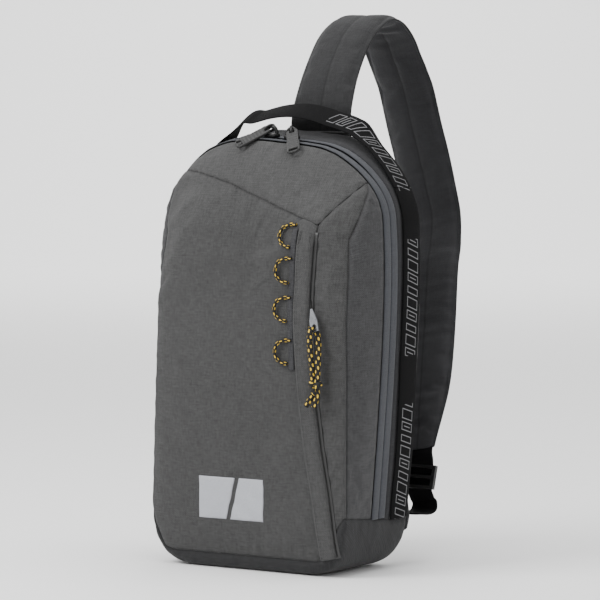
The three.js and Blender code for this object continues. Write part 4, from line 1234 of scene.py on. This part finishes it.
def make_placket(skin, materials):
    """A folded strip of cloth over the pocket's zip, stitched along both edges."""
    flat = spline(PLACKET_ROUTE, 170)
    points, normals = skin.line(flat, 2.1)
    strip = ribbon("placket_cloth", points, normals, PLACKET_WIDTH, 3.4, materials["yoke"], crown=0.5,
                   steps=18)
    strip["middle"] = float(flat[-1, 0])
    tuck_top(strip, -0.34, 296, 314, 1.8)
    place(subdivide(strip), "bag_front", "shell_fabric", "placket")
    across = unit(np.cross(tangents(points), normals))
    rows = [(points[:-4] + across[:-4] * side + normals[:-4] * 2.0, normals[:-4])
            for side in (-6.0, -4.6, 4.6, 6.2)]
    place(stitches("placket_stitching", rows, materials["thread"]), "bag_front", "shell_fabric")
    edge = points[:-4] + across[:-4] * (PLACKET_WIDTH / 2 + 0.9) - normals[:-4] * 1.6
    lip = ribbon("pocket_zip_edge", edge, normals[:-4], 4.2, 1.2, materials["coil"], steps=6)
    place(lip, "bag_front", "zip_tape", "pocket_zip_tape")


def make_daisy_chain(skin, materials):
    """A grosgrain tape with four cord loops caught under it."""
    flat = spline(DAISY_ROUTE, 90)
    points, normals = skin.line(flat, 1.0)
    strip = ribbon("daisy_grosgrain", points, normals, 6.0, 1.3, materials["grosgrain"], steps=8)
    strip["middle"] = float(flat[-1, 0])
    tuck_top(strip, -0.34, 308, 318, 1.2)
    place(subdivide(strip), "bag_front", "webbing", "daisy_tape")
    for k, (high, low) in enumerate(LOOP_SPANS, 1):
        middle, half = (high + low) / 2, (high - low) / 2
        root = np.interp(middle, flat[:, 1], flat[:, 0])
        angle = np.linspace(-0.16, math.pi + 0.16, 36)
        bulge = np.sign(np.sin(angle)) * np.abs(np.sin(angle)) ** 0.8 * LOOP_BULGE
        xs = root - 2.2 - bulge
        zs = middle + half * np.cos(angle)
        ys = np.array([skin.at(x, z, LOOP_DIAMETER / 2 + 0.5)[0][1] for x, z in zip(xs, zs)])
        ys -= 1.4 * np.clip(np.sin(angle), 0, 1)
        line = spline(np.stack([xs, ys, zs], 1)[::3], 60)
        loop = tube(f"daisy_loop_{k}_cord", line, LOOP_DIAMETER, materials["cord"], bumps=0.05)
        place(loop, "bag_front", "cord", f"daisy_loop_{k}")


MARK_BLOCKS = {
    "mark_block_left": ((-51, 46), (-22, 46), (-12, 84), (-51, 84)),
    "mark_block_right": ((-17.5, 46), (19, 46), (19, 84), (-7.5, 84)),
}


def make_mark(skin, materials):
    """A plain two-block reflective patch, pressed on the cloth."""
    for name, corners in MARK_BLOCKS.items():
        a, b, c, d = (np.array(p, float) for p in corners)
        steps = 26
        verts, weave = [], []
        for i in range(steps + 1):
            for j in range(steps + 1):
                u, v = i / steps, j / steps
                x, z = mix(mix(a, b, u), mix(d, c, u), v)
                edge = min(u, v, 1 - u, 1 - v)
                place_at, _ = skin.at(x, z, 0.28 if edge > 0 else 0.02)
                verts.append(place_at)
                weave.append((x, z, 10))
        obj = make_object(f"{name}_film", verts, grid_faces(steps + 1, steps + 1), weave, materials["mark"])
        modifier = obj.modifiers.new("thickness", "SOLIDIFY")
        modifier.thickness = 0.25 * MM
        modifier.offset = 0
        place(apply_modifiers(obj), "bag_front", "reflective", name)


# ---- Pocket pull ----

CORD_DIAMETER = 4.8
KNOT_PLACE = (80.2, -65.7, 171.5)
PULL_CORDS = {
    "pull_cord_left": ((76.8, -66.6, 224.5), (75.8, -67.6, 219), (75.4, -67.6, 212), (75.8, -66.8, 200),
                       (77, -66, 188), (77.6, -65.7, 178.6)),
    "pull_cord_right": ((77.4, -60.8, 221.2), (80, -61.6, 217), (81.8, -63, 210), (82.4, -64.2, 200),
                        (82.4, -65.2, 188), (82.4, -65.7, 178.6)),
}
CORD_TAILS = {
    "cord_tail_left": ((78, -65.7, 164.4), (74.4, -65.8, 159.5), (70.4, -65.6, 154)),
    "cord_tail_right": ((82.4, -65.7, 164.4), (80.8, -65.7, 159), (78.2, -65.4, 153.6)),
}


def make_knot(materials):
    """An overhand knot in the doubled cord: three turns that cross over each other."""
    t = np.linspace(0, 2 * math.pi, 90, endpoint=False)
    x, y, z = KNOT_PLACE
    line = np.stack([x + 3.3 * np.sin(t) + 1.6 * np.sin(2 * t), y + 2.0 * np.sin(3 * t),
                     z + 3.6 * np.cos(t) - 1.8 * np.cos(2 * t)], 1)
    return tube("cord_knot_turns", line, CORD_DIAMETER - 0.2, materials["cord"], bumps=0.05, closed=True)


def make_pull_cord(materials):
    """The doubled cord on the pocket's puller, down through its knot to two short tails."""
    knot = make_knot(materials)
    pieces = []
    for side in ("left", "right"):
        middle = (KNOT_PLACE[0] + (-1 if side == "left" else 1), KNOT_PLACE[1], KNOT_PLACE[2])
        route = [*PULL_CORDS[f"pull_cord_{side}"], middle, *CORD_TAILS[f"cord_tail_{side}"]]
        line = spline(route, 110)
        piece = tube(f"pull_cord_{side}_braid", line, CORD_DIAMETER, materials["cord"], bumps=0.05)
        pieces.append((side, piece, line))
    for side, piece, line in pieces:
        place(piece, "pocket_pull", "cord", f"pull_cord_{side}", f"cord_tail_{side}")
    place(knot, "pocket_pull", "cord", "cord_knot")


# ---- Shoulder strap ----

# Stations along the strap's middle: x, y, z, width, thickness.
STRAP = ((4, 60.4, 384, 66, 2.4), (4, 59.6, 392, 66, 2.8), (4.2, 58.6, 400, 66, 3.2),
         (4.5, 59, 409, 65, 3.8), (5, 61.6, 421, 64, 5.4),
         (5, 70.5, 441, 62, 8.5), (5, 83, 461, 61, 9), (5.5, 96, 478, 61, 9), (7, 110, 490, 61, 9),
         (9, 126, 497, 61, 9), (11.5, 142, 493.5, 61, 9), (13.5, 157, 480, 61, 9), (15.5, 167, 462, 61, 9),
         (19, 174, 445, 61, 9), (22, 178.5, 430, 61, 9), (28, 183, 397, 61, 9), (34, 186, 370, 61, 9),
         (40, 187.5, 342, 61, 9), (46, 187, 314, 61, 8.5), (51, 179, 287, 61, 8.5), (56, 166, 263, 61, 9),
         (65, 147, 216, 61, 9), (73, 129, 175, 60, 9), (77.5, 119, 153, 56, 8.5), (81.5, 109, 132, 48, 7),
         (85.5, 99.5, 111, 38, 5), (87.3, 95.5, 101.5, 34, 3.8))
STRAP_ROWS = 230
# The stitching starts this many rows up the strap, clear of the root patch.
STITCH_START = 26
# Steps across each face of the strap, from one sewn edge to the other.
STRAP_SIDE_STEPS = 30


def strap_frame(stations, count):
    """Evenly spaced middle points of the strap with their across and outward directions."""
    line = spline(stations, count)
    points, width, thick = line[:, :3], line[:, 3], line[:, 4]
    t = tangents(points)
    across = unit(np.array((1.0, 0, 0)) - t * t[:, :1])
    return points, across, unit(np.cross(across, t)), width, thick


def strap_section(share):
    """Half thickness of the padded strap across its width: a pillow with a thin sewn edge."""
    pillow = np.clip(1 - (np.abs(share) / 0.87) ** 5, 0, 1) ** 0.5
    edge = np.clip((1 - np.abs(share)) / 0.04, 0, 1) ** 0.5
    return np.maximum(pillow, 0.24 * edge)


def make_strap(materials):
    """The padded strap: face cloth outside, creased lining inside, a sewn edge, and a centre row outside."""
    points, across, out, width, thick = strap_frame(STRAP, STRAP_ROWS)
    s = arc_lengths(points)
    share = np.sin(np.linspace(-math.pi / 2, math.pi / 2, STRAP_SIDE_STEPS + 1))
    u = np.concatenate([share, share[::-1][1:-1]])
    face = np.concatenate([np.ones(len(share)), -np.ones(len(share) - 2)])
    half = strap_section(u)[None, :] * thick[:, None] / 2
    place_at = points[:, None] + across[:, None] * (u[None, :, None] * width[:, None, None] / 2)
    bend = np.linalg.norm(np.gradient(tangents(points), axis=0), axis=1)
    bend = np.convolve(bend, np.ones(15) / 15, "same")
    bend = np.clip(bend / 0.05, 0.35, 1.0)
    along = np.broadcast_to(s[:, None], half.shape)
    crease = noise_at(np.stack([u[None, :] * 14 + 0 * along, along, 0 * along], -1), (16, 7.5, 10), 2.2)
    ridge = 1 - np.abs(noise_at(np.stack([u[None, :] * 9 + 0 * along, along, 0 * along], -1),
                                (15, 11, 10), 8.2)) * 3
    flat = np.clip((1 - np.abs(u)) / 0.2, 0, 1)[None, :]
    inner = (face < 0)[None, :]
    half = half + np.where(inner, (1.7 * crease + 1.1 * np.clip(ridge, -1, 1)) * bend[:, None],
                           0.45 * crease) * flat
    centre = np.exp(-(u[None, :] * width[:, None] / 2 / 1.8) ** 2) * np.where(inner, 1.3, 1.0)
    padded = smooth(0, 40, s)[:, None] * smooth(0, 30, s[-1] - s)[:, None]
    half = half - centre * 1.0 * padded
    verts = place_at + out[:, None] * (half * face[None, :])[..., None]
    m = len(u)
    # Distance to a sewn edge or to the centre row; the strap's woven cloth turns it into painted shade along
    # them.
    edge_gap = np.minimum(1 - np.abs(u), np.abs(u) + 0.01)[None, :] * width[:, None] / 2
    weave = np.stack([u[None, :] * width[:, None] / 2, along, np.broadcast_to(edge_gap, half.shape)], -1)
    faces = grid_faces(STRAP_ROWS, m, wrap_columns=True)
    faces += [list(range(m))[::-1], [(STRAP_ROWS - 1) * m + k for k in range(m)]]
    strap = make_object("shoulder_strap_padded", verts.reshape(-1, 3), faces, weave.reshape(-1, 3),
                        materials["strap"])
    strap.data.materials.append(materials["lining"])
    for polygon in strap.data.polygons:
        column = np.mean([v % m for v in polygon.vertices]) if len(polygon.vertices) == 4 else 0
        if STRAP_SIDE_STEPS < column < m and max(v % m for v in polygon.vertices) >= STRAP_SIDE_STEPS:
            polygon.material_index = 1
    outward(strap)
    held = (np.abs(u)[None, :] > 0.93) | (padded < 0.4)
    settle_cloth(strap, held.ravel(), np.full(held.size, 1.2), 0.02)
    subdivide(strap)
    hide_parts("strap_face", "strap_foam", "strap_lining")
    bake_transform(strap)
    rows = [(points[12:-6] + out[12:-6] * (thick[12:-6] / 2 - 0.75)[:, None], out[12:-6])]
    for side in (-1, 1):
        inset = width / 2 - 6.2
        lift = strap_section(inset / (width / 2)) * thick / 2
        rows.append((points + across * (side * inset)[:, None] + out * (lift - 0.1)[:, None], out))
    rows = [(p[STITCH_START:], n[STITCH_START:]) for p, n in rows]
    place(stitches("strap_stitching", rows, materials["thread"]), "shoulder_strap", "shell_fabric")


STRAP_END = ((87, 96, 103), (88, 94.6, 98.6), (88.9, 94.6, 93), (89.8, 93.2, 86), (90.4, 91, 80))
ADJUSTER = ((90.6, 92.4, 82), (91, 91.4, 74), (91.4, 90.4, 67), (92.6, 93.5, 58.5), (94, 95.6, 53),
            (95.4, 92, 47.5),
            (96.6, 82, 45.4), (97.2, 71, 46.4), (97.4, 59.0, 47.6))
ROOT_PATCH = ((4, 57.5, 352), (4, 57.5, 370), (4, 57.5, 384), (4, 56.6, 390), (4, 55.4, 394.6))


def flat_strap(name, route, width, thickness, material, count=60, crown=0.3):
    points = spline(route, count)
    t = tangents(points)
    across = unit(np.array((1.0, 0, 0)) - t * t[:, :1])
    normal = unit(np.cross(across, t))
    return subdivide(ribbon(name, points, normal, width, thickness, material, crown=crown))


def make_strap_ends(materials):
    tongue = flat_strap("strap_end_webbing", STRAP_END, 30, 2.4, materials["webbing_plain"])
    place(tongue, "shoulder_strap", "webbing", "strap_end_tongue")
    adjuster = flat_strap("adjuster_webbing_weave", ADJUSTER, 27, 1.8, materials["webbing_plain"], 90)
    place(adjuster, "shoulder_strap", "webbing", "adjuster_webbing")
    patch = flat_strap("strap_root_patch_cloth", ROOT_PATCH, 66, 3.6, materials["yoke"])
    place(patch, "bag_back", "shell_fabric", "strap_root_patch")


FOAM_OUTLINE = ((-86, 60), (86, 60), (98, 150), (102, 260), (92, 325), (60, 358), (-60, 358), (-92, 325),
                (-102, 260), (-98, 150))
POUCH_OUTLINE = ((10, 60), (88, 60), (92, 140), (92, 236), (82, 256), (10, 256))


def soft_sheet(name, outline, front_y, back_y, rim, lumps, material):
    """A flat soft piece with rounded edges and uneven faces, between two depths."""
    loop = resample(np.array([*outline, outline[0]], float), 181)[:-1]
    for _ in range(12):
        loop = (np.roll(loop, 1, 0) + 2 * loop + np.roll(loop, -1, 0)) / 4
    centre, half = loop.mean(0), (back_y - front_y) / 2
    rings = [(f, -1) for f in np.linspace(0.02, 1, 22)] + [(1, g) for g in (-0.5, 0, 0.5)]
    rings += [(f, 1) for f in np.linspace(1, 0.02, 22)]
    verts, weave = [], []
    for f, side in rings:
        shrink = 1 - (rim / 60) * abs(side) ** 2 if f == 1 else f
        flat = centre + (loop - centre) * shrink
        y = (front_y + back_y) / 2 + side * half * (0.8 if f == 1 else 1.0)
        lump = noise_at(np.stack([flat[:, 0], 0 * flat[:, 0] + side * 40, flat[:, 1]], 1),
                        26, 5.5) * lumps * (f < 1)
        verts += [(x, y - side * abs(w), z) for (x, z), w in zip(flat, lump)]
        # The third value, the distance in from the rim, gives woven cloth painted shade along the rim.
        weave += [(x, z, 60 * (1 - f)) for x, z in flat]
    faces = grid_faces(len(rings), 180, wrap_columns=True)
    faces += [list(range(180)), [(len(rings) - 1) * 180 + k for k in range(180)]]
    return outward(make_object(name, verts, faces, weave, material))


def make_inside(materials):
    foam = soft_sheet("back_foam_pad", FOAM_OUTLINE, BACK_Y - 8.4, BACK_Y - 3.6, 1.6, 0.7, materials["foam"])
    place(foam, "bag_back", "foam", "back_foam")
    pouch = soft_sheet("pocket_pouch_cloth", POUCH_OUTLINE, -48.6, -46.6, 0.6, 0.4, materials["lining"])
    place(pouch, "bag_front", "lining", "pocket_pouch")


CORNER_TAB = ((84, 24), (99, 34), (101.5, 46), (99.5, 60), (84, 56))


def make_corner_tab(materials):
    """The small cloth tab that holds the adjuster's webbing at the rear base corner."""
    outline = resample(np.array([*CORNER_TAB, CORNER_TAB[0]], float), 61)[:-1]
    centre = outline.mean(0)
    rings = [(1, 54.4), (1, 58.0), (0.93, 58.9), (0.6, 59.2), (0.2, 59.3)]
    verts = [(centre[0] + (x - centre[0]) * f, y, centre[1] + (z - centre[1]) * f)
             for f, y in rings for x, z in outline]
    weave = [(x, z, 6) for x, y, z in verts]
    faces = grid_faces(len(rings), 60, wrap_columns=True) + [list(range(60)), list(range(240, 300))]
    tab = outward(make_object("corner_tab_cloth", verts, faces, weave, materials["base"]))
    place(tab, "bag_back", "lower_fabric", "corner_tab")


# ---- Sliders and pullers ----

SLIDER_BASE_Z = 388.0
PIVOT_Z = 396.6
PULLERS = {"right": (11, (17.5, -23.5, -19.5)), "left": (-11, (-25, -22, -17))}
PULLER_LENGTH = 34.0
PULLER_WIDTH = 12.6
PULLER_THICKNESS = 2.4


def plate_from_cells(name, inside, place_cell, thickness, material):
    """A flat plate made of the grid cells that inside() accepts, with real holes and walls.

    place_cell(u, v) gives a point and a normal for u along the plate and v across it, both 0 to 1."""
    rows, columns = 34, 18
    present = {(i, j) for i in range(rows) for j in range(columns)
               if inside((i + 0.5) / rows, (j + 0.5) / columns)}
    index, verts, weave = {}, [], []

    def vertex(i, j, side):
        if (i, j, side) not in index:
            point, normal = place_cell(i / rows, j / columns)
            index[i, j, side] = len(verts)
            verts.append(point + normal * thickness * side)
            weave.append((j, i, 5))
        return index[i, j, side]

    faces = []
    for i, j in present:
        corners = ((i, j), (i, j + 1), (i + 1, j + 1), (i + 1, j))
        faces.append([vertex(*c, 0.5) for c in corners])
        faces.append([vertex(*c, -0.5) for c in corners][::-1])
        for k, (di, dj) in enumerate(((-1, 0), (0, 1), (1, 0), (0, -1))):
            if (i + di, j + dj) not in present:
                a, b = corners[k], corners[(k + 1) % 4]
                faces.append([vertex(*a, 0.5), vertex(*a, -0.5), vertex(*b, -0.5), vertex(*b, 0.5)])
    return outward(make_object(name, verts, faces, weave, material))


def puller_outline(u):
    """Half width of the puller along its length: a narrow neck that widens to a round-cornered tip."""
    return 0.5 * min(1.0, 0.84 + 0.2 * u) * min(1.0, ((1.02 - u) / 0.1) ** 0.5, ((u + 0.03) / 0.06) ** 0.5)


def in_puller(u, v):
    if abs(v - 0.5) > puller_outline(u):
        return False
    in_slot = abs(u - 0.88) < 0.055 and abs(v - 0.5) < 0.32
    in_eye = abs(u - 0.08) < 0.04 and abs(v - 0.5) < 0.14
    return not (in_slot or in_eye)


def make_puller(side, materials):
    x, way = PULLERS[side]
    pivot = lean((x, ZIP_MIDDLE_Y, PIVOT_Z))
    along = unit(np.array(way, float))
    normal = np.array((0.0, -0.62, 0.78))
    normal = unit(normal - along * np.dot(normal, along))
    across = np.cross(normal, along)
    head = pivot + along * 3.0

    def place_cell(u, v):
        rim = min(0.5 - abs(v - 0.5), 1 - u, u) / 0.12
        raised = 0.35 if rim < 0.9 else 0.0
        rib = 0.3 * math.sin(u * 62) if rim >= 0.9 and u < 0.78 else 0.0
        return (head + along * u * PULLER_LENGTH + across * (v - 0.5) * PULLER_WIDTH
                + normal * (raised + rib)), normal

    plate = subdivide(plate_from_cells(f"main_puller_{side}_plate", in_puller, place_cell, PULLER_THICKNESS,
                                       materials["puller"]))
    place(plate, f"puller_{side}", "moulded_puller", f"main_puller_{side}")
    t = np.linspace(0, 2 * math.pi, 40, endpoint=False)
    ring = pivot + along * (2.2 + 4.6 * np.cos(t))[:, None] + normal * (3.0 * np.sin(t))[:, None]
    place(tube(f"main_puller_{side}_wire", ring, 2.6, materials["slider"], sides=10, closed=True),
          f"puller_{side}", "black_metal")


def rounded_block(name, centre, size, material, power=0.42):
    """A block with generous rounded edges, as a cast slider has."""
    steps, rings = 28, 14
    verts = []
    for i in range(rings + 1):
        b = mix(-math.pi / 2, math.pi / 2, i / rings)
        for j in range(steps):
            a = 2 * math.pi * j / steps
            signed = [math.copysign(abs(v) ** power, v)
                      for v in (math.cos(b), math.cos(a), math.sin(a), math.sin(b))]
            verts.append((centre[0] + size[0] / 2 * signed[0] * signed[1],
                          centre[1] + size[1] / 2 * signed[0] * signed[2],
                          centre[2] + size[2] / 2 * signed[3]))
    obj = make_object(name, verts, grid_faces(rings + 1, steps, wrap_columns=True),
                      [(v[0], v[1], 5) for v in verts], material)
    bm = bmesh.new()
    bm.from_mesh(obj.data)
    bmesh.ops.remove_doubles(bm, verts=bm.verts, dist=1e-6)
    bm.to_mesh(obj.data)
    bm.free()
    return outward(obj)


def make_slider(side, materials):
    """A cast slider: its body on the tapes, and the bridge that the wire hangs on."""
    x, _, base_z = lean((PULLERS[side][0], ZIP_MIDDLE_Y, SLIDER_BASE_Z))
    body = rounded_block(f"main_slider_{side}_body", (x, ZIP_MIDDLE_Y, base_z + 1.0), (14, 9.6, 3.6),
                         materials["slider"])
    place(body, f"slider_{side}", "black_metal", f"main_slider_{side}")
    a = np.linspace(-0.25, math.pi + 0.25, 26)
    line = np.stack([x + 5.4 * np.cos(a), 0 * a + ZIP_MIDDLE_Y, base_z + 3.0 + 6.0 * np.sin(a)], 1)
    place(tube(f"main_slider_{side}_bridge", line, 3.6, materials["slider"], sides=10), f"slider_{side}",
          "black_metal")


def make_hardware(materials):
    for side in PULLERS:
        make_slider(side, materials)
        make_puller(side, materials)
    slider = rounded_block("pocket_slider_body", (66.5, -55.6, 243), (8, 3.0, 10), materials["slider"])
    place(slider, "pocket_zip_slider", "black_metal", "pocket_slider")


# ---- Hardware and the rest ----

CAD_FINISH = {
    "bright": ("pocket_puller",),
    "plastic": ("ladder_lock",),
}


def finish_cad_nodes(materials):
    """Gives the hard pieces that keep their CAD shape a full material."""
    for key, names in CAD_FINISH.items():
        for name in names:
            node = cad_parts[name]
            node.data.materials.clear()
            node.data.materials.append(materials[key])


def build():
    add_camera()
    add_lights()
    add_floor()
    materials = make_materials()
    panels = make_panels(materials)
    skin = Skin([panels[r][0] for r in ("yoke", "main", "pocket", "gusset_right", "gusset_left", "base")])
    settle_panels(panels, materials)
    make_daisy_chain(skin, materials)
    make_pull_cord(materials)
    make_placket(skin, materials)
    make_mark(skin, materials)
    make_zip(materials)
    make_webbing(materials)
    make_strap(materials)
    make_strap_ends(materials)
    make_corner_tab(materials)
    make_inside(materials)
    make_hardware(materials)
    finish_cad_nodes(materials)


build()
